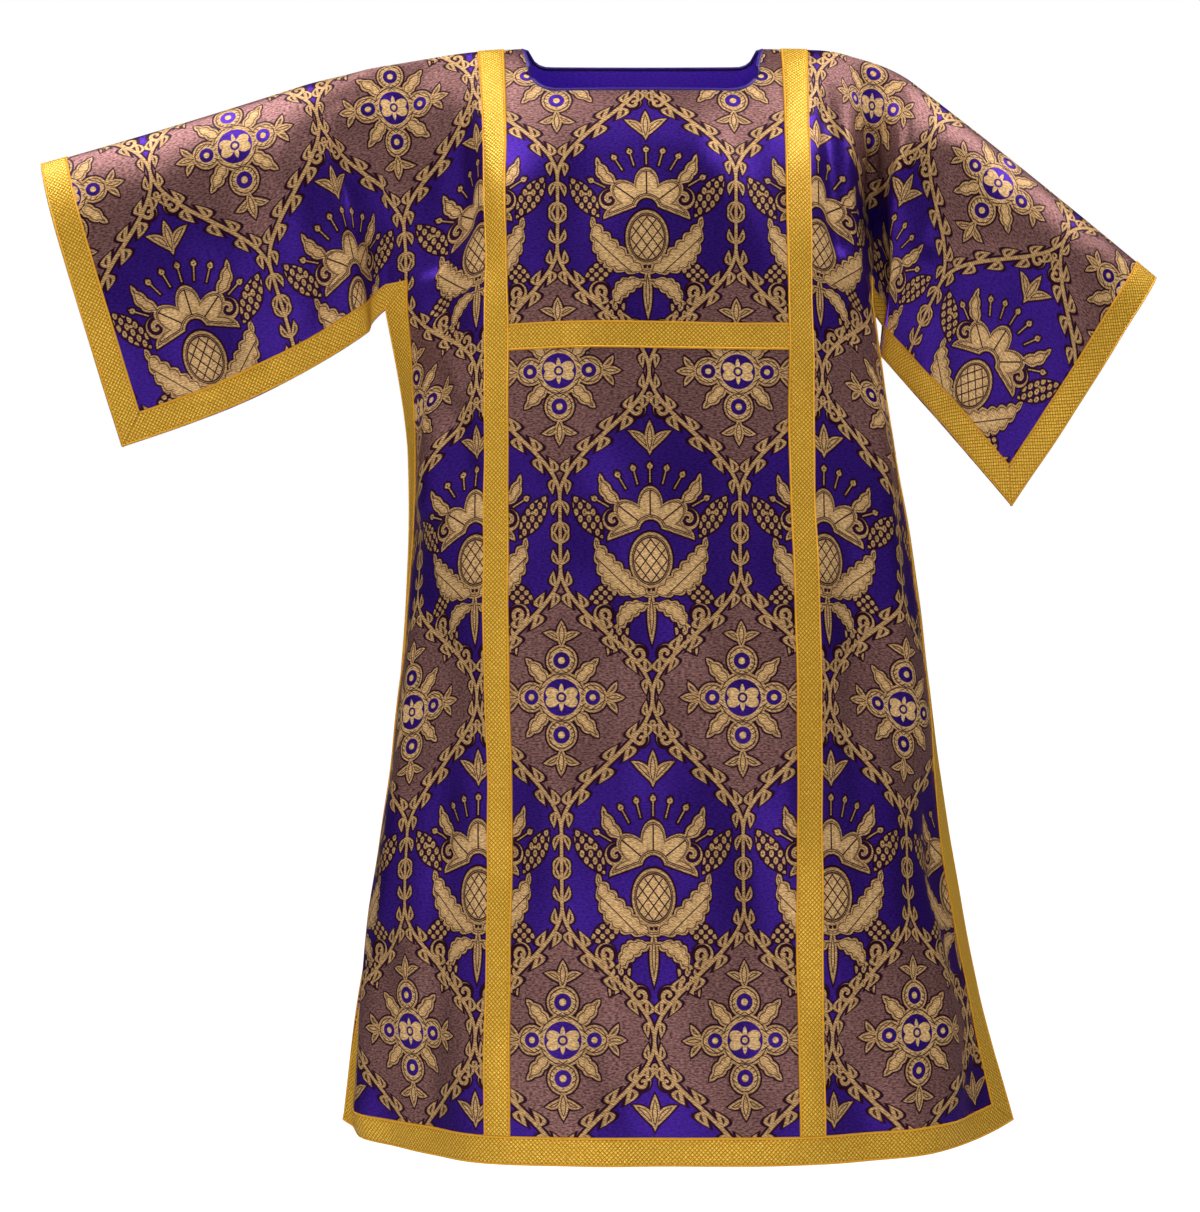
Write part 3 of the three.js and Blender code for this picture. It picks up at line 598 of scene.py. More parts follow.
def shell(cloth, quads, low, high):
    """A closed wall over some of a cloth's cells, from one height over it to another.

    Returns its points, its faces, where each face lies, and where each point is on the cut."""
    points, normals = cloth.points.reshape(-1, 3), cloth.normals.reshape(-1, 3)
    used = np.unique(quads)
    place = np.full(quads.max() + 1, -1)
    place[used] = np.arange(len(used))
    outer = place[quads]
    count = len(used)
    corners = np.concatenate([points[used] + normals[used] * high, points[used] + normals[used] * low])
    edges = np.concatenate([outer[:, [k, (k + 1) % 4]] for k in range(4)])
    code = edges[:, 0] * count + edges[:, 1]
    back = edges[:, 1] * count + edges[:, 0]
    rim = edges[~np.isin(code, back)]
    walls = np.stack([rim[:, 1], rim[:, 0], rim[:, 0] + count, rim[:, 1] + count], axis=1)
    faces = np.concatenate([outer, outer[:, ::-1] + count, walls])
    kind = np.repeat([OUTSIDE, INSIDE, AROUND], [len(outer), len(outer), len(walls)])
    flat = np.stack([cloth.u.ravel(), -cloth.v.ravel()], axis=1)[used]
    return corners, faces, kind, np.concatenate([flat, flat])


def swept(stations, closed=False):
    """Faces of a closed solid through rings of points, stations x ring points."""
    count, ring = stations.shape[:2]
    faces = []
    for k in range(count if closed else count - 1):
        a, b = k * ring, ((k + 1) % count) * ring
        for s in range(ring):
            t = (s + 1) % ring
            faces.append((a + s, a + t, b + t, b + s))
    if not closed:
        faces.append(tuple(range(ring))[::-1])
        faces.append(tuple((count - 1) * ring + s for s in range(ring)))
    return faces


def outwards(points, faces):
    """The faces of a closed solid, turned round if they point inwards."""
    volume = 0.0
    for f in faces:
        a = points[f[0]]
        for k in range(1, len(f) - 1):
            volume += float(np.dot(a, np.cross(points[f[k]], points[f[k + 1]])))
    return [f[::-1] for f in faces] if volume < 0 else faces


def swept_piece(name, rings, flat, material, closed=False):
    """A piece of one material through rings of points, with each point's place on the cut."""
    solid = rings.reshape(-1, 3)
    faces = outwards(solid, swept(rings, closed))
    return make_object(name, solid, faces, flat.reshape(-1, 2), [0] * len(faces), [material])


# ---- Arithmetic on surfaces ----


class Net:
    """A shader node group under construction."""

    def __init__(self, name, inputs, outputs):
        self.tree = bpy.data.node_groups.new(name, "ShaderNodeTree")
        for label, default in inputs.items():
            kind = "NodeSocketVector" if default is None else "NodeSocketFloat"
            socket = self.tree.interface.new_socket(label, in_out="INPUT", socket_type=kind)
            if default is not None:
                socket.default_value = default
        for label in outputs:
            self.tree.interface.new_socket(label, in_out="OUTPUT", socket_type="NodeSocketFloat")
        self.start = self.tree.nodes.new("NodeGroupInput")
        self.end = self.tree.nodes.new("NodeGroupOutput")

    def node(self, kind, operation, values, output=0, clamp=False):
        node = self.tree.nodes.new(kind)
        if operation:
            node.operation = operation
        if clamp:
            node.use_clamp = True
        for socket, value in zip(node.inputs, values):
            if isinstance(value, Amount):
                self.tree.links.new(value.socket, socket)
            else:
                socket.default_value = value
        return Amount(self, node.outputs[output])

    def read(self, label):
        return Amount(self, self.start.outputs[label])

    def give(self, label, amount):
        self.tree.links.new(amount.socket, self.end.inputs[label])


class Amount:
    """A value that varies over a surface; arithmetic on it adds nodes to its net."""

    def __init__(self, net, socket):
        self.net, self.socket = net, socket

    def math(self, operation, *others, clamp=False):
        return self.net.node("ShaderNodeMath", operation, (self, *others), clamp=clamp)

    def __add__(self, other):
        return self.math("ADD", other)

    def __sub__(self, other):
        return self.math("SUBTRACT", other)

    def __mul__(self, other):
        return self.math("MULTIPLY", other)

    def __truediv__(self, other):
        return self.math("DIVIDE", other)

    def __abs__(self):
        return self.math("ABSOLUTE")


class Spot:
    """A place on a surface, as a vector of its x, its y and 1."""

    def __init__(self, net, place):
        self.net, self.place = net, place

    def line(self, a, b, c):
        """a x + b y + c"""
        return self.net.node("ShaderNodeVectorMath", "DOT_PRODUCT", (self.place, (a, b, c)), output=1)

    def far(self, centre, tall=1.0):
        """Distance to a centre, on a surface squeezed to 1 / tall of its height."""
        place = self.place
        if tall != 1:
            squeeze = (place, (1, 1 / tall, 1))
            place = self.net.node("ShaderNodeVectorMath", "MULTIPLY", squeeze)
        values = (place, (centre[0], centre[1] / tall, 1))
        return self.net.node("ShaderNodeVectorMath", "DISTANCE", values, output=1)


def spot(x, y):
    """The place with the amounts x and y."""
    return Spot(x.net, x.net.node("ShaderNodeCombineXYZ", None, (x, y, 1.0)))


def least(amount, *others):
    for other in others:
        amount = amount.math("MINIMUM", other)
    return amount


def most(amount, *others):
    for other in others:
        amount = amount.math("MAXIMUM", other)
    return amount


def sine(a):
    return a.math("SINE")


def bearing(y, x):
    return y.math("ARCTAN2", x)


def from_line(a):
    """How far an amount is from a whole number and a half, 0 to 0.5."""
    return abs(a.math("FRACT") - 0.5)


def times_plus(a, b, c, clamp=False):
    return a.math("MULTIPLY_ADD", b, c, clamp=clamp)


def folded(a, pitch, start):
    """A length taken again and again over one pitch, from minus to plus a half of it."""
    return times_plus(times_plus(a, 1 / pitch, start).math("FRACT"), pitch, -pitch / 2)


def within(distance, soft=0.7):
    """1 inside a shape and 0 outside, over a soft edge."""
    return times_plus(distance, -1 / soft, 0.5, clamp=True)


# ---- The damask, in millimetres of the cut ----
REPEAT_WIDE, REPEAT_HIGH = 195.0, 353.0
START = 62.0  # the shoulder seam to the first row's middle
FIELD_HIGH = 138.0  # half height of the ogee fields
STEM = 1.7  # half width of the cord round a field
LEAF_PITCH = 23.0  # from one pair of the cord's leaves to the next
RIM, ROPE = 7.5, 3.8  # from the rosette's edge to what is set into it, and to its rope
# Round lobes of the rosette and the eyes in them, as (centre, radius).
LOBES = [((33, 0), 15.5), ((0, 39), 16.5)]
EYES = [((33, 0), 3.2), ((0, 39), 3.6)]
ROSETTE, HEART, HEART_EYE = 27.0, 5.4, 3.0  # radii
# Leaves, as (base, tip, half width, how far bowed aside, teeth).
BORDER_LEAVES = [
    ((-9, 1), (8, 9), 3.1, 3, 0),
    ((9, -1), (-8, -8), 3.0, 3, 0),
]
ROSETTE_LEAVES = [
    ((12, 12), (38, 40), 6.5, 0, 3),
    ((0, 52), (0, 82), 5.4, 0, 0),
    ((1, 60), (19, 70), 4.0, 3, 0),
    ((44, 0), (68, 0), 4.6, 0, 0),
    ((48, 3), (60, 16), 3.4, -2, 0),
]
BIG_LEAF = ((4, 72), (64, 14), 12.0, 13, 7)
SPRAY_LEAVES = [
    ((4, 74), (40, 102), 8.0, -9, 5),
    ((0, 60), (0, 120), 4.6, 0, 0),
    ((32, -28), (56, -60), 6.0, 5, 3),
    ((0, -84), (0, -122), 5.2, 0, 0),
    ((0, -90), (22, -112), 4.8, -4, 0),
]
# Scrolls, as (centre, radius, distance between turns, share of a turn at the start).
SCROLLS = [
    ((40, -14), 12, 9, 0.1),
    ((15, 130), 10, 8, 0.3),
    ((13, -134), 9, 7.5, 0.6),
    ((52, 88), 11, 8, 0.2),
]
BUD = ((0, -150), 3.4)
# Berries, as (slope across, slope down, two starts, spread, radius, bunches shaped as leaves).
BERRIES = [
    (0.1, 0.1, (0, 0), 7.0, 2.6, [((36, 60), (68, 74), 10)]),
    (0.11, 0.07, (0.2, 0.1), 8.0, 3.0, [((52, 6), (84, -40), 11), ((26, 92), (48, 132), 10)]),
]
INNER_LINE = 2.7  # from a figure's edge in to the line along it
OUTLINE_WIDE = 2.1  # from a figure's edge out to the end of its dark outline


def leaf(p, base, tip, half, bow=0, teeth=0):
    """Distance to a leaf from base to tip, bowed aside, with so many teeth along it."""
    reach = math.dist(base, tip)
    du, dv = (tip[0] - base[0]) / reach, (tip[1] - base[1]) / reach
    x, y = (base[0] + tip[0]) / 2, (base[1] + tip[1]) / 2
    s = p.line(2 * du / reach, 2 * dv / reach, -2 * (du * x + dv * y) / reach)
    t = p.line(-dv, du, dv * x - du * y)
    square = s * s
    if bow:
        t = times_plus(square, bow, t) - bow / 2
    width = times_plus(square, half, abs(t))
    if teeth:
        width = times_plus(abs(sine(s * (math.pi * teeth / 2))), -0.28 * half, width)
    return width - half


def leaves(p, rows):
    return [leaf(p, *row) for row in rows]


def disc(p, centre, radius, tall=1.0):
    return p.far(centre, tall) - radius


def curl(p, centre, radius, pitch, start):
    """Distance to a scroll that winds in to its centre."""
    r = p.far(centre)
    round_it = bearing(p.line(0, 1, -centre[1]), p.line(1, 0, -centre[0]))
    turns = times_plus(r, 1 / pitch, times_plus(round_it, 1 / (2 * math.pi), start))
    return most(times_plus(from_line(turns), pitch, -pitch * 0.27), r - radius)


def bunches(p, across, down, starts, spread, radius, places):
    """Distances to berries on a slanting lattice, in each of some leaf-shaped places."""
    one, two = p.line(across, down, starts[0]), p.line(across, -down, starts[1])
    berry = spot(one.math("FRACT"), two.math("FRACT")).far((0.5, 0.5))
    berry = times_plus(berry, spread, -radius)
    return [most(berry, place) for place in leaves(p, places)]


def ogee(x, up):
    """A field between two bowed lines, and its border: a cord with a leaf on each side in turn."""
    rise = least(up, FIELD_HIGH) * (math.pi / FIELD_HIGH)
    steep = sine(rise)
    edge = x - times_plus(sine(rise + math.pi / 2), REPEAT_WIDE / 4, REPEAT_WIDE / 4)
    field = edge / times_plus(steep * steep, 0.8, 1.0)
    border = spot(folded(up, LEAF_PITCH, 0.0), field)
    return field, least(abs(field) - STEM, *leaves(border, BORDER_LEAVES))


def rosette(x, up):
    """A quatrefoil with leaves round it, the flower set into it, and its roped rim."""
    p = spot(x, up)
    r = p.far((0, 0))
    foil = least(r - ROSETTE, *[disc(p, *row) for row in LOBES])
    # Four petals, 6 to 18 mm long.
    petals = r - times_plus(abs(sine(times_plus(bearing(up, x), 2.0, math.pi / 4))), 12.0, 6.0)
    petals = least(most(petals, times_plus(r, -1.0, HEART)), r - HEART_EYE)
    petals = least(petals, *[disc(p, *row) for row in EYES])
    rope = times_plus(from_line(p.line(0.13, 0.19, 0)), 6.0, -0.7)
    rope = most(rope, abs(foil + ROPE) - 2.2)
    return least(foil, *leaves(p, ROSETTE_LEAVES)), most(foil + RIM, petals * -1.0), rope


def pomegranate(p, across, down):
    """A netted fruit under a fan of petals and stamens, and the veins on them."""
    fruit = disc(p, (0, 30), 23, 1.3)
    netting = least(from_line(p.line(0.085, 0.065, 0)), from_line(p.line(-0.085, 0.065, 0)))
    netting = most(times_plus(netting, 11.0, -0.8), fruit + 5.0)
    r = p.far((0, -2))
    turn = bearing(across, p.line(0, -1, -2))
    # Petals that reach 31 to 48 mm, cut off below by a slanting line.
    lobes = times_plus(abs(sine(times_plus(turn, 3.5, math.pi / 2))), 17.0, 31.0)
    fan = most(r - lobes, p.line(-0.35, 1, 8), times_plus(r, -1.0, 12.0))
    fan_edge = most(abs(fan + 4.5) - 0.6, times_plus(r, -1.0, 16.0))
    ribs = times_plus(abs(sine(turn * 3.5)) * r, 0.28, -0.8)
    # Thin stamens from 52 to 74 mm, each with a round tip.
    stamens = from_line(times_plus(turn, 3.82, 0.5)) * r * 0.26
    stamens = least(stamens - 0.6, disc(spot(stamens, r), (0, 70), 3.0))
    stamens = most(stamens, times_plus(r, -1.0, 52.0), r - 74.0, down + 20.0)
    veins = least(netting, abs(fruit + 4.2) - 0.7, fan_edge, most(ribs, fan + 4.0))
    return least(fruit, fan, stamens), veins


def sprays(p):
    """Leaves, scrolls and berries round the fruit, and the big leaf's vein."""
    big = leaf(p, *BIG_LEAF)
    berries = [bunch for row in BERRIES for bunch in bunches(p, *row)]
    scrolls = [curl(p, *row) for row in SCROLLS]
    vein = most(abs(p.line(0.69, 0.72, -60.5)) - 0.6, big + 3.0)
    return least(big, *leaves(p, SPRAY_LEAVES), *berries, *scrolls, disc(p, *BUD)), vein


def damask(u, v):
    """Distances to the brown fields, the figures, the veins on them and what is set into them."""
    wide, high = REPEAT_WIDE, REPEAT_HIGH
    x = times_plus(from_line(times_plus(u, 1 / wide, 0.5)), -wide, wide / 2)
    up = abs(folded(v, high, 0.5 - START / high))
    across = times_plus(x, -1.0, wide / 2)
    down = folded(v, high, -START / high)
    p = spot(across, down)
    field, border = ogee(x, up)
    foil, inset, rope = rosette(x, up)
    fruit, netting = pomegranate(p, across, down)
    spray, midrib = sprays(p)
    figure = least(border, foil, fruit, spray)
    vein = least(rope, netting, midrib, abs(figure + INNER_LINE) - 0.5)
    return field, figure, vein, inset


def damask_group():
    """Masks of the damask's four colours, from the cut's coordinates in metres."""
    net = Net("damask", {"Cut": None}, ("Field", "Figure", "Shadow", "Tone"))
    cut = Spot(net, net.read("Cut"))
    field, figure, vein, inset = damask(cut.line(1 / MM, 0, 0), cut.line(0, -1 / MM, 0))
    woven = within(figure) * within(inset * -1.0)
    net.give("Field", within(field) * times_plus(within(inset), -1.0, 1.0))
    net.give("Figure", woven * times_plus(within(vein), -1.0, 1.0))
    around = within(figure - OUTLINE_WIDE) * within(inset * -1.0 - 0.4)
    net.give("Shadow", most(around, within(abs(inset - 0.6) - 0.8)))
    strokes = from_line(cut.line(230, 390, 0))
    net.give("Tone", times_plus(figure, -0.05, times_plus(strokes, 1.5, 0.05), clamp=True))
    return net.tree


# ---- Weaves, in millimetres ----
LOZENGE = 3.3 * math.sqrt(2)  # between the lines of the galloon's lattice
CORD = 2.4  # width of the galloon's smooth edge
CORD_TWIST = 0.9  # one turn of the cord in it
SEWING = 2.6  # length of a sewing stitch with its gap


def threads_group():
    """Fine threads across and along, from coordinates in metres: a height and a fleck."""
    net = Net("threads", {"Cut": None, "Across": 1400.0, "Along": 1100.0}, ("Height", "Fleck"))
    cut = Spot(net, net.read("Cut"))
    warp = sine(cut.line(2 * math.pi, 0, 0) * net.read("Across"))
    weft = sine(cut.line(0, 2 * math.pi, 0) * net.read("Along"))
    net.give("Height", times_plus(warp * weft, 0.5, 0.5))
    noise = net.tree.nodes.new("ShaderNodeTexNoise")
    noise.inputs["Scale"].default_value = 1.0
    noise.inputs["Detail"].default_value = 1.0
    stretch = net.node("ShaderNodeVectorMath", "MULTIPLY", (cut.place, (260, 620, 1)))
    net.tree.links.new(stretch.socket, noise.inputs["Vector"])
    net.give("Fleck", times_plus(Amount(net, noise.outputs[0]), 2.6, -0.8, clamp=True))
    return net.tree


def braid_group():
    """The galloon's lattice, from its own coordinates in metres: along it and across it."""
    net = Net("braid", {"Band": None}, ("Lattice", "Edge", "Height", "Stitch"))
    band = Spot(net, net.read("Band"))
    along, aside = band.line(1 / MM, 0, 0), band.line(0, 1 / MM, 0)
    across = abs(aside)
    place = spot(along, aside)
    one, two = [from_line(place.line(1 / LOZENGE, way / LOZENGE, 0)) for way in (1, -1)]
    lattice = within(times_plus(least(one, two), LOZENGE * 0.7, -0.42), 0.5)
    edge = within(times_plus(across, -1.0, BRAID / 2 - CORD), 0.4)
    net.give("Lattice", lattice * times_plus(edge, -1.0, 1.0))
    net.give("Edge", edge)
    dome = times_plus(least(one, two), 2.0, 0.0)
    ribs = times_plus(sine(along * (2 * math.pi / CORD_TWIST)), 0.2, 0.6)
    net.give("Height", times_plus(ribs - dome, edge, dome))
    stitch = from_line(along * (1 / SEWING)) * SEWING - SEWING * 0.34
    beside_cord = abs(across - (BRAID / 2 - CORD - 0.5)) - 0.28
    net.give("Stitch", within(most(stitch, beside_cord), 0.3))
    return net.tree


# ---- Materials ----
made = {}  # what the operators share: both cloths, the weaves, the lining and finished pieces


def srgb(red, green, blue):
    """A colour from its usual 0 to 255 values."""
    def line_up(c):
        c /= 255
        return c / 12.92 if c <= 0.04045 else ((c + 0.055) / 1.055) ** 2.4
    return (line_up(red), line_up(green), line_up(blue), 1)


class Finish:
    """A material under construction, with its Principled BSDF."""

    def __init__(self, name, **constants):
        self.material = bpy.data.materials.new(name)
        self.material.use_nodes = True
        self.tree = self.material.node_tree
        self.shader = self.tree.nodes["Principled BSDF"]
        for socket, value in constants.items():
            self.shader.inputs[socket.replace("_", " ")].default_value = value
        self.cut = self.tree.nodes.new("ShaderNodeTexCoord").outputs["UV"]

    def put(self, value, socket):
        """Links another node's value to a socket, or sets a constant."""
        if isinstance(value, bpy.types.NodeSocket):
            self.tree.links.new(value, socket)
        else:
            socket.default_value = value

    def group(self, name, **inputs):
        node = self.tree.nodes.new("ShaderNodeGroup")
        node.node_tree = made[name]
        for label, value in inputs.items():
            self.put(value, node.inputs[label])
        return node.outputs

    def blend(self, share, a, b):
        """A colour between two, each a constant or another node's colour."""
        node = self.tree.nodes.new("ShaderNodeMix")
        node.data_type = "RGBA"
        sockets = {socket.identifier: socket for socket in node.inputs}
        for name, value in (("Factor_Float", share), ("A_Color", a), ("B_Color", b)):
            self.put(value, sockets[name])
        return next(s for s in node.outputs if s.identifier == "Result_Color")

    def line(self, value, slope, start, clamp=False):
        """value x slope + start"""
        node = self.tree.nodes.new("ShaderNodeMath")
        node.operation = "MULTIPLY_ADD"
        node.use_clamp = clamp
        for socket, given in zip(node.inputs, (value, slope, start)):
            self.put(given, socket)
        return node.outputs[0]

    def feed(self, name, value):
        self.tree.links.new(value, self.shader.inputs[name])

    def bump(self, height, distance):
        node = self.tree.nodes.new("ShaderNodeBump")
        node.inputs["Strength"].default_value = 1.0
        node.inputs["Distance"].default_value = distance
        self.tree.links.new(height, node.inputs["Height"])
        self.feed("Normal", node.outputs["Normal"])


def brocade_material(look):
    """Satin and brown fields with gold figures, duller along their dark outlines."""
    finish = Finish("brocade", Specular_IOR_Level=0.1, Specular_Tint=(0.9, 0.68, 1, 1))
    woven = finish.group("damask", Cut=finish.cut)
    threads = finish.group("threads", Cut=finish.cut)
    fleck = threads["Fleck"]
    satin = finish.blend(fleck, look.satin_dark, look.satin_light)
    ground = finish.blend(fleck, look.ground_dark, look.ground_light)
    colour = finish.blend(woven["Field"], satin, ground)
    colour = finish.blend(woven["Shadow"], colour, look.outline)
    dull = finish.blend(fleck, look.thread_dark, look.thread_middle)
    bright = finish.blend(fleck, look.thread_middle, look.thread_light)
    gold = finish.blend(woven["Tone"], dull, bright)
    finish.feed("Base Color", finish.blend(woven["Figure"], colour, gold))
    rough = finish.line(woven["Field"], 0.03, 0.29)
    finish.feed("Roughness", finish.line(woven["Figure"], 0.04, rough))
    plain = finish.line(woven["Shadow"], -0.4, 0.75)
    finish.feed("Metallic", finish.line(woven["Field"], -0.2, plain, clamp=True))
    finish.bump(threads["Height"], 0.00008)
    return finish.material


def satin_material(name, dark, light, threads_across, thread_height, **constants):
    """Plain satin for the lining and the neck's binding."""
    finish = Finish(name, **constants)
    threads = finish.group("threads", Cut=finish.cut, Across=threads_across, Along=1500.0)
    finish.feed("Base Color", finish.blend(threads["Fleck"], dark, light))
    finish.bump(threads["Height"], thread_height)
    return finish.material


def galloon_material(look):
    """Gold lozenges between corded edges, sewn down beside them."""
    finish = Finish("galloon", Roughness=0.36, Specular_IOR_Level=0.4, Specular_Tint=(1, 0.8, 0.4, 1))
    braid = finish.group("braid", Band=finish.cut)
    threads = finish.group("threads", Cut=finish.cut, Across=900.0, Along=900.0)
    colour = finish.blend(threads["Fleck"], look.gold_dark, look.gold_light)
    for place, on_it in (("Lattice", look.groove), ("Edge", look.cord), ("Stitch", look.groove)):
        colour = finish.blend(braid[place], colour, on_it)
    finish.feed("Base Color", colour)
    finish.feed("Metallic", finish.line(braid["Edge"], -0.15, 0.3))
    finish.bump(braid["Height"], 0.0004)
    return finish.material


# ---- Settings ----


def tint(name, description, *levels):
    """A colour setting, from its usual red, green and blue of 0 to 255."""
    return FloatVectorProperty(
        name=name, description=description, default=srgb(*levels),
        subtype="COLOR", size=4, min=0, max=1,
    )


def size(name, description, default, **limits):
    """A size setting, in metres."""
    return FloatProperty(name=name, description=description, default=default, unit="LENGTH", **limits)


def power(name, description, default):
    """A lamp's power, in watts."""
    return FloatProperty(name=name, description=description, default=default, unit="POWER")


class ClothSettings(PropertyGroup):
    """Brocade and lining"""

    step: size("Mesh step", "Largest distance between the cloth's mesh lines", 0.0072, min=0.004)
    thickness: size("Thickness", "Brocade, interlining and lining together", 0.002)
    satin_dark: tint("Satin", "Purple ground in its darker threads", 46, 22, 104)
    satin_light: tint("Satin, lit", "Purple ground in its lighter threads", 66, 34, 142)
    ground_dark: tint("Field", "Brown fields in their darker threads", 82, 50, 50)
    ground_light: tint("Field, lit", "Brown fields in their lighter threads", 152, 112, 106)
    outline: tint("Outline", "Dark threads round the gold figures", 40, 9, 28)
    thread_dark: tint("Gold thread, dark", "Gold figures where they are dullest", 112, 76, 44)
    thread_middle: tint("Gold thread", "Gold figures on the whole", 174, 132, 84)
    thread_light: tint("Gold thread, lit", "Gold figures where they are brightest", 248, 208, 148)
    lining_dark: tint("Lining", "Lining in its darker threads", 128, 62, 246)
    lining_light: tint("Lining, lit", "Lining in its lighter threads", 156, 90, 255)


class GalloonSettings(PropertyGroup):
    """Galloons"""

    height: size("Height", "How far the galloon stands over the brocade", 0.0012)
    bead: size("Bead", "How far its corded edges stand over its middle", 0.0004)
    gold_dark: tint("Gold", "The galloon's darker threads", 218, 162, 40)
    gold_light: tint("Gold, lit", "The galloon's lighter threads", 255, 216, 92)
    groove: tint("Groove", "Between the galloon's lozenges, and its sewing", 164, 106, 16)
    cord: tint("Cord", "The galloon's corded edges", 230, 166, 44)


class NeckSettings(PropertyGroup):
    """Neck"""

    binding_width: size("Binding width", "Width of the rolled binding", 0.0046)
    satin_dark: tint("Satin", "The binding's darker threads", 42, 20, 96)
    satin_light: tint("Satin, lit", "The binding's lighter threads", 60, 30, 132)


class StageSettings(PropertyGroup):
    """Stage"""

    floor_drop: size("Floor", "Depth of the floor under the shoulders", 1.9)
    floor_glow: FloatProperty(
        name="Floor glow", description="Light from the lit floor itself", default=0.06
    )
    backdrop: FloatProperty(name="Backdrop", description="Brightness of the backdrop", default=1.0)
    room: FloatProperty(name="Room", description="Brightness of the room's own light", default=0.08)
    key_power: power("Key light", "Soft light on the left", 11)
    fill_power: power("Fill light", "Soft light on the right", 5)
    top_power: power("Top lights", "Soft lights over both shoulders", 40)
    side_power: power("Side lights", "Tall soft lights beside the skirt", 11)
    low_power: power("Low light", "Soft light before the hem", 26)


SETTINGS = {
    "tunicle_cloth": ClothSettings,
    "tunicle_galloon": GalloonSettings,
    "tunicle_neck": NeckSettings,
    "tunicle_stage": StageSettings,
}


def cloths():
    """Front and back as fine grids, made once."""
    if "front" not in made:
        step = bpy.context.scene.tunicle_cloth.step / MM
        made["front"], made["back"] = Cloth("front", step), Cloth("back", step)
        join_seam(made["front"], made["back"])
    return made["front"], made["back"]


# ---- The stage, in metres ----
CAMERA_PLACE = (-0.050, -3.700, -0.627)
SENSOR_WIDTH, LENS = 36, 98.14  # millimetres
FLOOR_SIZE = 80
FLOOR_SEEN = 1.05  # how bright the camera sees the floor
AIM = (0, 0, -0.6)  # where all lamps point
WHITE = (1, 1, 1)
# Lamps, as (name, place, width and height, whose power, share of it, colour).
LAMPS = [
    ("key", (-2.6, -2.2, 1.2), (1.0, 1.2), "key_power", 1.0, (1, 0.985, 0.96)),
    ("fill", (0.9, -3.4, 0.9), (0.9, 0.9), "fill_power", 1.0, (0.96, 0.98, 1)),
    ("top_left", (-1.1, -0.2, 1.4), (1.3, 0.5), "top_power", 1.0, WHITE),
    ("top_right", (1.3, -0.2, 1.4), (1.3, 0.5), "top_power", 1.15, WHITE),
    ("side_left", (-2.5, -2.5, -0.8), (0.35, 2.4), "side_power", 1.0, WHITE),
    ("side_right", (2.6, -2.6, -0.8), (0.35, 2.4), "side_power", 0.7, WHITE),
    ("low", (-0.3, -2.4, -1.78), (2.8, 0.5), "low_power", 1.0, WHITE),
]


def add_camera(scene):
    """A long lens, level with the middle of the garment."""
    camera = bpy.data.cameras.new("camera")
    camera.sensor_width = SENSOR_WIDTH
    camera.lens = LENS
    camera.clip_end = 100
    seat = bpy.data.objects.new("camera", camera)
    seat.location = CAMERA_PLACE
    seat.rotation_euler = (math.radians(90), 0, 0)
    scene.collection.objects.link(seat)
    scene.camera = seat


def add_floor(settings):
    """A plain floor, which the camera sees as pale as the backdrop."""
    bpy.ops.object.select_all(action="DESELECT")
    bpy.ops.mesh.primitive_plane_add(size=FLOOR_SIZE, location=(0, 0, -settings.floor_drop))
    floor = bpy.context.active_object
    floor.name = "floor"
    pale = Finish("floor", Base_Color=(0.9, 0.9, 0.9, 1), Roughness=0.9, Emission_Color=(1, 1, 1, 1))
    seen = pale.tree.nodes.new("ShaderNodeLightPath").outputs["Is Camera Ray"]
    glow = settings.floor_glow
    pale.feed("Emission Strength", pale.line(seen, FLOOR_SEEN - glow, glow))
    floor.data.materials.append(pale.material)


def light_room(scene, settings):
    """A white backdrop that lights the garment less than it shows."""
    world = bpy.data.worlds.new("studio")
    scene.world = world
    world.use_nodes = True
    tree = world.node_tree
    around = tree.nodes["Background"]
    around.inputs["Color"].default_value = (1, 1, 1, 1)
    seen = tree.nodes.new("ShaderNodeLightPath").outputs["Is Camera Ray"]
    strength = tree.nodes.new("ShaderNodeMath")
    strength.operation = "MULTIPLY_ADD"
    strength.inputs[1].default_value = settings.backdrop - settings.room
    strength.inputs[2].default_value = settings.room
    tree.links.new(seen, strength.inputs[0])
    tree.links.new(strength.outputs[0], around.inputs["Strength"])


def add_lamp(scene, name, place, extent, watts, shade):
    """A soft oblong lamp, turned to the garment."""
    light = bpy.data.lights.new(name, "AREA")
    light.shape = "RECTANGLE"
    light.size, light.size_y = extent
    light.energy = watts
    light.color = shade
    lamp = bpy.data.objects.new(name, light)
    lamp.location = place
    x, y, z = np.array(AIM) - np.array(place)
    lamp.rotation_euler = (math.atan2(math.hypot(x, y), -z), 0, math.atan2(y, x) - math.pi / 2)
    scene.collection.objects.link(lamp)


class TUNICLE_OT_stage(Operator):
    """Camera, floor and soft studio light"""

    bl_idname = "tunicle.stage"
    bl_label = "Camera and stage"

    def execute(self, context):
        scene, settings = context.scene, context.scene.tunicle_stage
        add_camera(scene)
        add_floor(settings)
        light_room(scene, settings)
        for name, place, extent, lit_by, share, shade in LAMPS:
            add_lamp(scene, name, place, extent, getattr(settings, lit_by) * share, shade)
        scene.view_settings.view_transform = "Standard"
        return {"FINISHED"}


# ---- Pieces ----


class TUNICLE_OT_weaves(Operator):
    """Node groups of the damask, the threads and the galloon's braid"""

    bl_idname = "tunicle.weaves"
    bl_label = "Weaves"

    def execute(self, context):
        made["damask"] = damask_group()
        made["threads"] = threads_group()
        made["braid"] = braid_group()
        return {"FINISHED"}


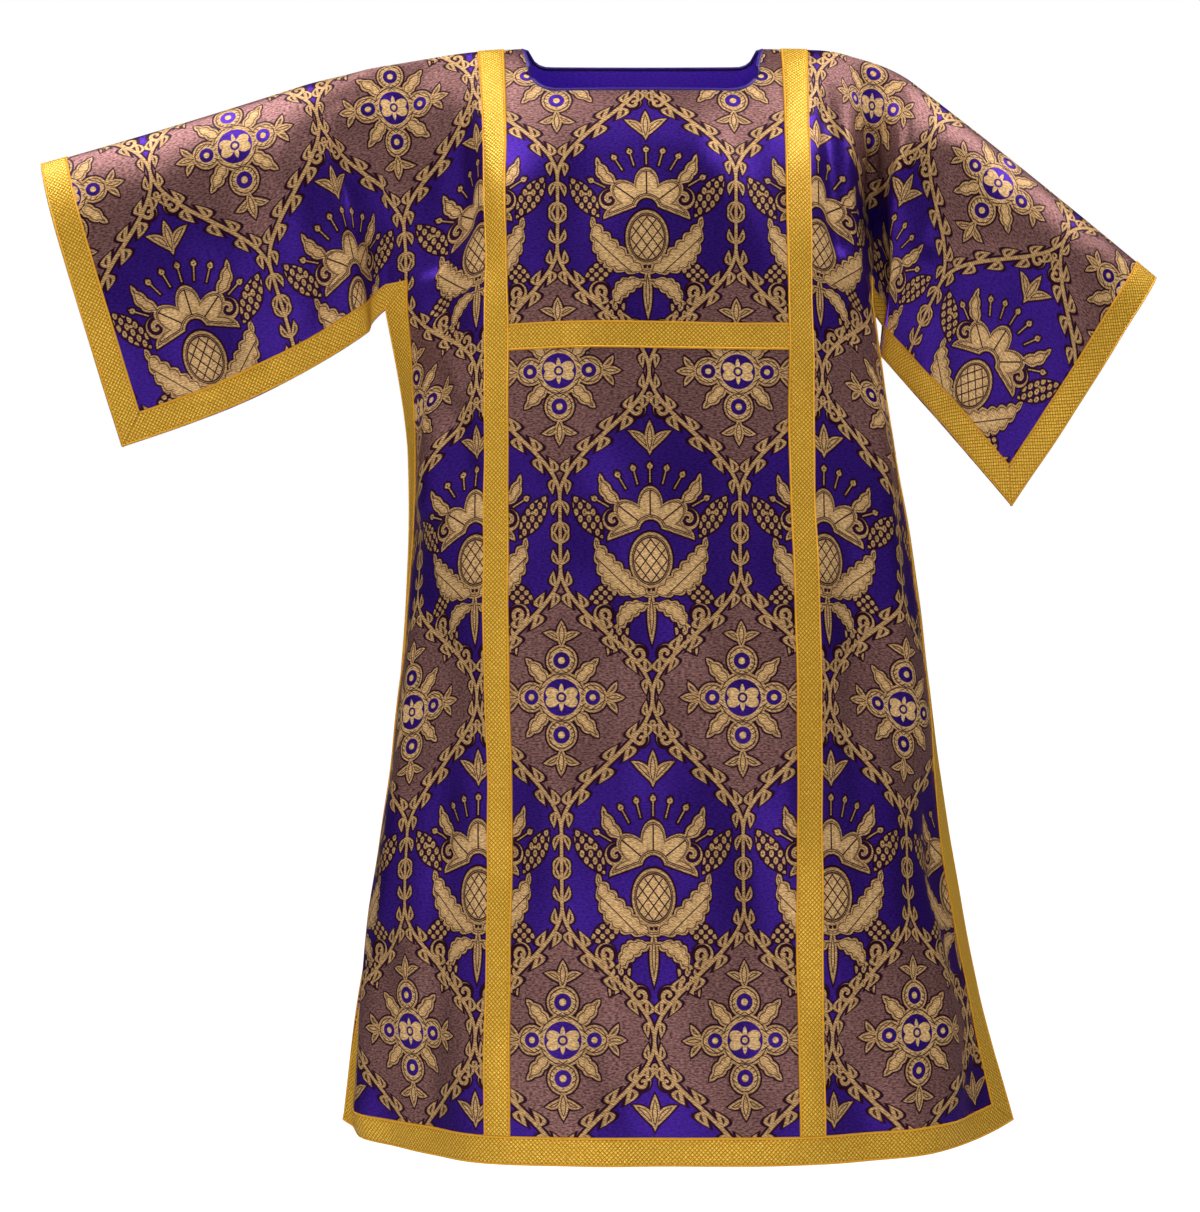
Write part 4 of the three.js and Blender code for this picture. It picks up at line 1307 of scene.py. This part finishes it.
class TUNICLE_OT_panels(Operator):
    """Front and back of lined brocade, each cut in one with half of both sleeves"""

    bl_idname = "tunicle.panels"
    bl_label = "Front and back"

    def execute(self, context):
        look = context.scene.tunicle_cloth
        brocade = brocade_material(look)
        made["lining"] = satin_material(
            "lining_satin", look.lining_dark, look.lining_light, 900.0, 0.00006,
            Specular_IOR_Level=0.3, Roughness=0.46,
        )
        for cloth in cloths():
            corners, faces, kind, flat = shell(cloth, cloth.corners(), -look.thickness / MM, 0.0)
            slots = np.where(kind == INSIDE, 1, 0)
            both = [brocade, made["lining"]]
            piece = make_object("brocade_" + cloth.face, corners, faces, flat, slots, both)
            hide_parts(cloth.face)
            made["brocade_" + cloth.face] = piece
        return {"FINISHED"}


RIBBON_STEP = 0.9  # between a galloon's stations, as a share of the cloth's mesh step
SEAT = 0.06  # millimetres between the brocade and the galloon's underside
GROOVE = 0.15  # millimetres that the galloon sinks beside its cord


def band_profile(height, bead):
    """The galloon's cross-section: shares of its width, and heights in millimetres."""
    edge = [
        (0.0, SEAT),
        (0.004, 0.6 * height),
        (0.018, height + 0.7 * bead),
        (0.036, height + bead),
        (0.056, height + 0.7 * bead),
        (0.075, height - GROOVE),
        (0.1, height),
    ]
    middle = [(t, height) for t in (0.2, 0.3, 0.4, 0.5, 0.6, 0.7, 0.8)]
    other = [(1 - t, h) for t, h in reversed(edge)]
    under = [(t, SEAT) for t in (0.8, 0.6, 0.4, 0.2)]
    return np.array(edge + middle + other + under).T


def strip(cloth, rows, columns, upright, share, step):
    """A ribbon on one cloth, between two lines that are each given at its two edges.

    Returns its points and normals, stations x shares of its width, and the length along it."""
    i0, i1 = [mix(start, end, share) for start, end in rows]
    j0, j1 = [mix(start, end, share) for start, end in columns]
    u0, v0 = flat_point(i0, j0, cloth.face)
    u1, v1 = flat_point(i1, j1, cloth.face)
    reach = np.hypot(u1 - u0, v1 - v0).max()
    s = np.linspace(0, 1, max(2, math.ceil(reach / step)))[:, None]
    i, j = mix(i0[None], i1[None], s), mix(j0[None], j1[None], s)
    u, v = flat_point(i, j, cloth.face)
    points, normals = cloth.at(i, j)
    return points, normals, v if upright else u


def depth_rows(cloth, j):
    """Depths of the grid's rows at the middle of a ribbon's columns, and their numbers."""
    middle = np.full(len(cloth.rows), float(np.median(j)))
    _, v = flat_point(cloth.rows, middle, cloth.face)
    keep = np.concatenate([[True], np.diff(v) > TINY])
    return v[keep], cloth.rows[keep]


def strip_over_seam(columns, foot, share, step):
    """The same for a ribbon from the foot of the front, over the seam, to that of the back.

    Rows are unevenly deep, so its stations are spaced by depth."""
    runs = []
    j, foot_row = mix(*columns, share), mix(*foot, share)
    for cloth, way in zip(cloths(), (1, -1)):
        _, deep = flat_point(foot_row, j, cloth.face)
        s = np.linspace(0, 1, max(2, math.ceil(float(deep.max()) / step)))[:, None]
        depth = s * deep[None]
        rows = np.interp(depth, *depth_rows(cloth, j))
        points, normals = cloth.at(rows, np.broadcast_to(j, rows.shape))
        runs.append((points, normals, way * depth))
    (front_p, front_n, front_v), (back_p, back_n, back_v) = runs
    return (
        np.concatenate([front_p[:0:-1], (front_p[:1] + back_p[:1]) / 2, back_p[1:]]),
        np.concatenate([front_n[::-1], back_n[1:]]),
        np.concatenate([front_v[::-1], back_v[1:]]),
    )


class TUNICLE_OT_galloons(Operator):
    """Gold galloon on the shoulders, breast, back, cuffs, sleeves, sides and hems"""

    bl_idname = "tunicle.galloons"
    bl_label = "Galloons"

    def execute(self, context):
        settings = context.scene.tunicle_galloon
        gold = galloon_material(settings)
        share, height = band_profile(settings.height / MM, settings.bead / MM)
        step = context.scene.tunicle_cloth.step / MM * RIBBON_STEP

        def sew(name, node, ribbon):
            points, normals, along = ribbon
            aside = np.broadcast_to((share - 0.5) * BRAID, along.shape)
            rings = points + normals * height[None, :, None]
            piece = swept_piece(name, rings, np.stack([along, aside], axis=-1), gold)
            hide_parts(node)
            made[name] = piece

        def on(cloth, rows, columns, upright=False):
            return strip(cloth, rows, columns, upright, share, step)

        edge, inner = BODY_COLUMN, BODY_COLUMN - 1
        cuff, last = LAST_COLUMN - 1, LAST_COLUMN
        hem, cross = (HEM_ROW, HEM_ROW + 1), (CROSS_ROW, CROSS_ROW + 1)
        under_sleeve = (ARMPIT_ROW - 1, ARMPIT_ROW)
        sides = ((-1, "left"), (1, "right"))
        for cloth in cloths():
            face = cloth.face
            ribbon = on(cloth, [hem] * 2, [(-inner, -edge), (inner, edge)])
            sew(f"galloon_hem_{face}", f"hem_band_{face}", ribbon)
            ribbon = on(cloth, [cross] * 2, [(-CLAVUS_COLUMN,) * 2, (CLAVUS_COLUMN,) * 2])
            sew(f"galloon_cross_{face}", f"cross_band_{face}", ribbon)
            for sign, side in sides:
                at_side, at_cuff = (sign * inner, sign * edge), (sign * cuff, sign * last)
                ribbon = on(cloth, [under_sleeve, hem], [at_side] * 2, upright=True)
                sew(f"galloon_side_{face}_{side}", f"side_band_{face}_{side}", ribbon)
                ribbon = on(cloth, [under_sleeve] * 2, [at_side, at_cuff])
                sew(f"galloon_undersleeve_{face}_{side}", f"undersleeve_band_{face}_{side}", ribbon)
        for sign, side in sides:
            clavus = (sign * CLAVUS_COLUMN, sign * (CLAVUS_COLUMN + 1))
            ribbon = strip_over_seam(clavus, (HEM_ROW, HEM_ROW), share, step)
            sew(f"galloon_clavus_{side}", f"clavus_{side}", ribbon)
            ribbon = strip_over_seam((sign * cuff, sign * last), under_sleeve, share, step)
            sew(f"galloon_cuff_{side}", f"cuff_band_{side}", ribbon)
        return {"FINISHED"}


# The rolled binding's section, as shares of half its width and millimetres off the brocade.
ROLL_SIDES, ROLL_ASIDE, ROLL_LEVEL, ROLL_HIGH = 14, 0.7, -0.9, 2.0
SEAM_LINE = 5.5  # millimetres from the neck's edge to its running stitches
STITCH_PITCH, STITCH_LONG = 3.6, 2.3
STITCH_RINGS = [(0.0, 0.12), (0.35, 0.32), (0.65, 0.32), (1.0, 0.12)]  # share of it, half thickness
STITCH_WIDE = 0.9  # its width, as a share of its thickness
FACING_OFF = (0.2, 0.9)  # millimetres from the lining to each side of the facing


def neck_edge(front, back):
    """The neck's edge, along the front and then the back: points, normals and ways inwards."""
    edge = np.abs(front.columns) <= NECK_COLUMN + TINY
    points = np.concatenate([front.points[0, edge], back.points[0, edge][-2:0:-1]])
    normals = np.concatenate([front.normals[0, edge], back.normals[0, edge][-2:0:-1]])
    tangents = unit(np.roll(points, -1, axis=0) - np.roll(points, 1, axis=0))
    return points, normals, unit(np.cross(normals, tangents))


def lengths(points):
    """How far along a line each of its points is."""
    return np.concatenate([[0], np.linalg.norm(np.diff(points, axis=0), axis=1).cumsum()])


def neck_roll(edge, width, satin):
    """A roll of satin, swept round the neck's edge."""
    points, normals, inwards = edge
    turn = np.linspace(0, 2 * math.pi, ROLL_SIDES, endpoint=False)
    aside = ROLL_ASIDE * width / 2 + width / 2 * np.cos(turn)
    up = ROLL_LEVEL + ROLL_HIGH * np.sin(turn)
    rings = points[:, None] + inwards[:, None] * aside[:, None] + normals[:, None] * up[:, None]
    along, round_it = lengths(points)[:, None], (turn * width / 2)[None, :]
    flat = np.stack(np.broadcast_arrays(along, round_it), axis=-1)
    return swept_piece("neck_roll", rings, flat, satin, closed=True)


def neck_stitches(edge, satin):
    """Running stitches just outside the binding."""
    points, normals, inwards = edge
    seam = points - inwards * SEAM_LINE + normals * 0.1
    gone = lengths(seam)
    share, thick = np.array(STITCH_RINGS).T
    solid, faces, flat = [], [], []
    for k in range(int(gone[-1] / STITCH_PITCH)):
        at = k * STITCH_PITCH + share * STITCH_LONG
        p, n, w = [
            np.stack([np.interp(at, gone, line[:, c]) for c in range(3)], axis=-1)
            for line in (seam, normals, inwards)
        ]
        up, aside = n * thick[:, None], w * thick[:, None] * STITCH_WIDE
        rings = np.stack([p + aside, p + up, p - aside, p - up], axis=1)
        corners = rings.reshape(-1, 3)
        faces += [tuple(len(solid) + c for c in f) for f in outwards(corners, swept(rings))]
        solid += corners.tolist()
        flat += [(a, 0.0) for a in at for _ in range(rings.shape[1])]
    return make_object("neck_stitches", solid, faces, flat, [0] * len(faces), [satin])


def neck_facing(back, thickness, lining):
    """The facing inside the back of the neck, on the lining's free side."""
    rows = back.cells[:, 0] < np.searchsorted(back.rows, FACING_ROW - TINY)
    columns = back.columns[back.cells[:, 1]]
    at_neck = (columns >= -NECK_COLUMN - TINY) & (columns < NECK_COLUMN - TINY)
    near, far = FACING_OFF
    quads = back.corners()[rows & at_neck]
    corners, faces, _, flat = shell(back, quads, -thickness - far, -thickness - near)
    return make_object("facing", corners, faces, flat, [0] * len(faces), [lining])


class TUNICLE_OT_neck(Operator):
    """Rolled satin binding and stitches round the neck and the facing inside its back"""

    bl_idname = "tunicle.neck"
    bl_label = "Neck binding and facing"

    def execute(self, context):
        settings = context.scene.tunicle_neck
        front, back = cloths()
        satin = satin_material(
            "binding_satin", settings.satin_dark, settings.satin_light, 700.0, 0.0001,
            Specular_IOR_Level=0.4, Roughness=0.38,
        )
        edge = neck_edge(front, back)
        piece = neck_roll(edge, settings.binding_width / MM, satin)
        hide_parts("neck_binding")
        made["neck_roll"] = piece
        neck_stitches(edge, satin)
        facing = neck_facing(back, context.scene.tunicle_cloth.thickness / MM, made["lining"])
        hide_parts("back_neck_facing")
        return {"FINISHED"}


class TUNICLE_OT_declare(Operator):
    """Gathers the galloons and the binding sewn on each sheet of cloth, and does nothing more with them
    """

    bl_idname = "tunicle.declare"
    bl_label = "Sheets of cloth"

    def execute(self, context):
        for face in ("front", "back"):
            sewn = [made[f"galloon_hem_{face}"], made[f"galloon_cross_{face}"]]
            for side in ("left", "right"):
                sewn += [made[f"galloon_side_{face}_{side}"], made[f"galloon_undersleeve_{face}_{side}"]]
                if face == "front":
                    sewn += [made[f"galloon_clavus_{side}"], made[f"galloon_cuff_{side}"]]
            if face == "front":
                sewn.append(made["neck_roll"])
        return {"FINISHED"}


PIECES = (
    TUNICLE_OT_stage,
    TUNICLE_OT_weaves,
    TUNICLE_OT_panels,
    TUNICLE_OT_galloons,
    TUNICLE_OT_neck,
    TUNICLE_OT_declare,
)


class TUNICLE_PT_pieces(Panel):
    """Settings and pieces of the tunicle"""

    bl_label = "Tunicle"
    bl_idname = "TUNICLE_PT_pieces"
    bl_space_type = "VIEW_3D"
    bl_region_type = "UI"
    bl_category = "Tunicle"

    def draw(self, context):
        for name, group in SETTINGS.items():
            box = self.layout.box()
            box.label(text=group.__doc__)
            for prop in group.__annotations__:
                box.prop(getattr(context.scene, name), prop)
        for piece in PIECES:
            self.layout.operator(piece.bl_idname)


CLASSES = (*SETTINGS.values(), *PIECES, TUNICLE_PT_pieces)


def register():
    for cls in CLASSES:
        bpy.utils.register_class(cls)
    for name, group in SETTINGS.items():
        setattr(bpy.types.Scene, name, PointerProperty(type=group))


def unregister():
    for name in SETTINGS:
        delattr(bpy.types.Scene, name)
    for cls in reversed(CLASSES):
        bpy.utils.unregister_class(cls)


def main():
    register()
    bpy.ops.tunicle.stage()
    bpy.ops.tunicle.weaves()
    bpy.ops.tunicle.panels()
    bpy.ops.tunicle.galloons()
    bpy.ops.tunicle.neck()
    bpy.ops.tunicle.declare()


if __name__ == "__main__":
    main()
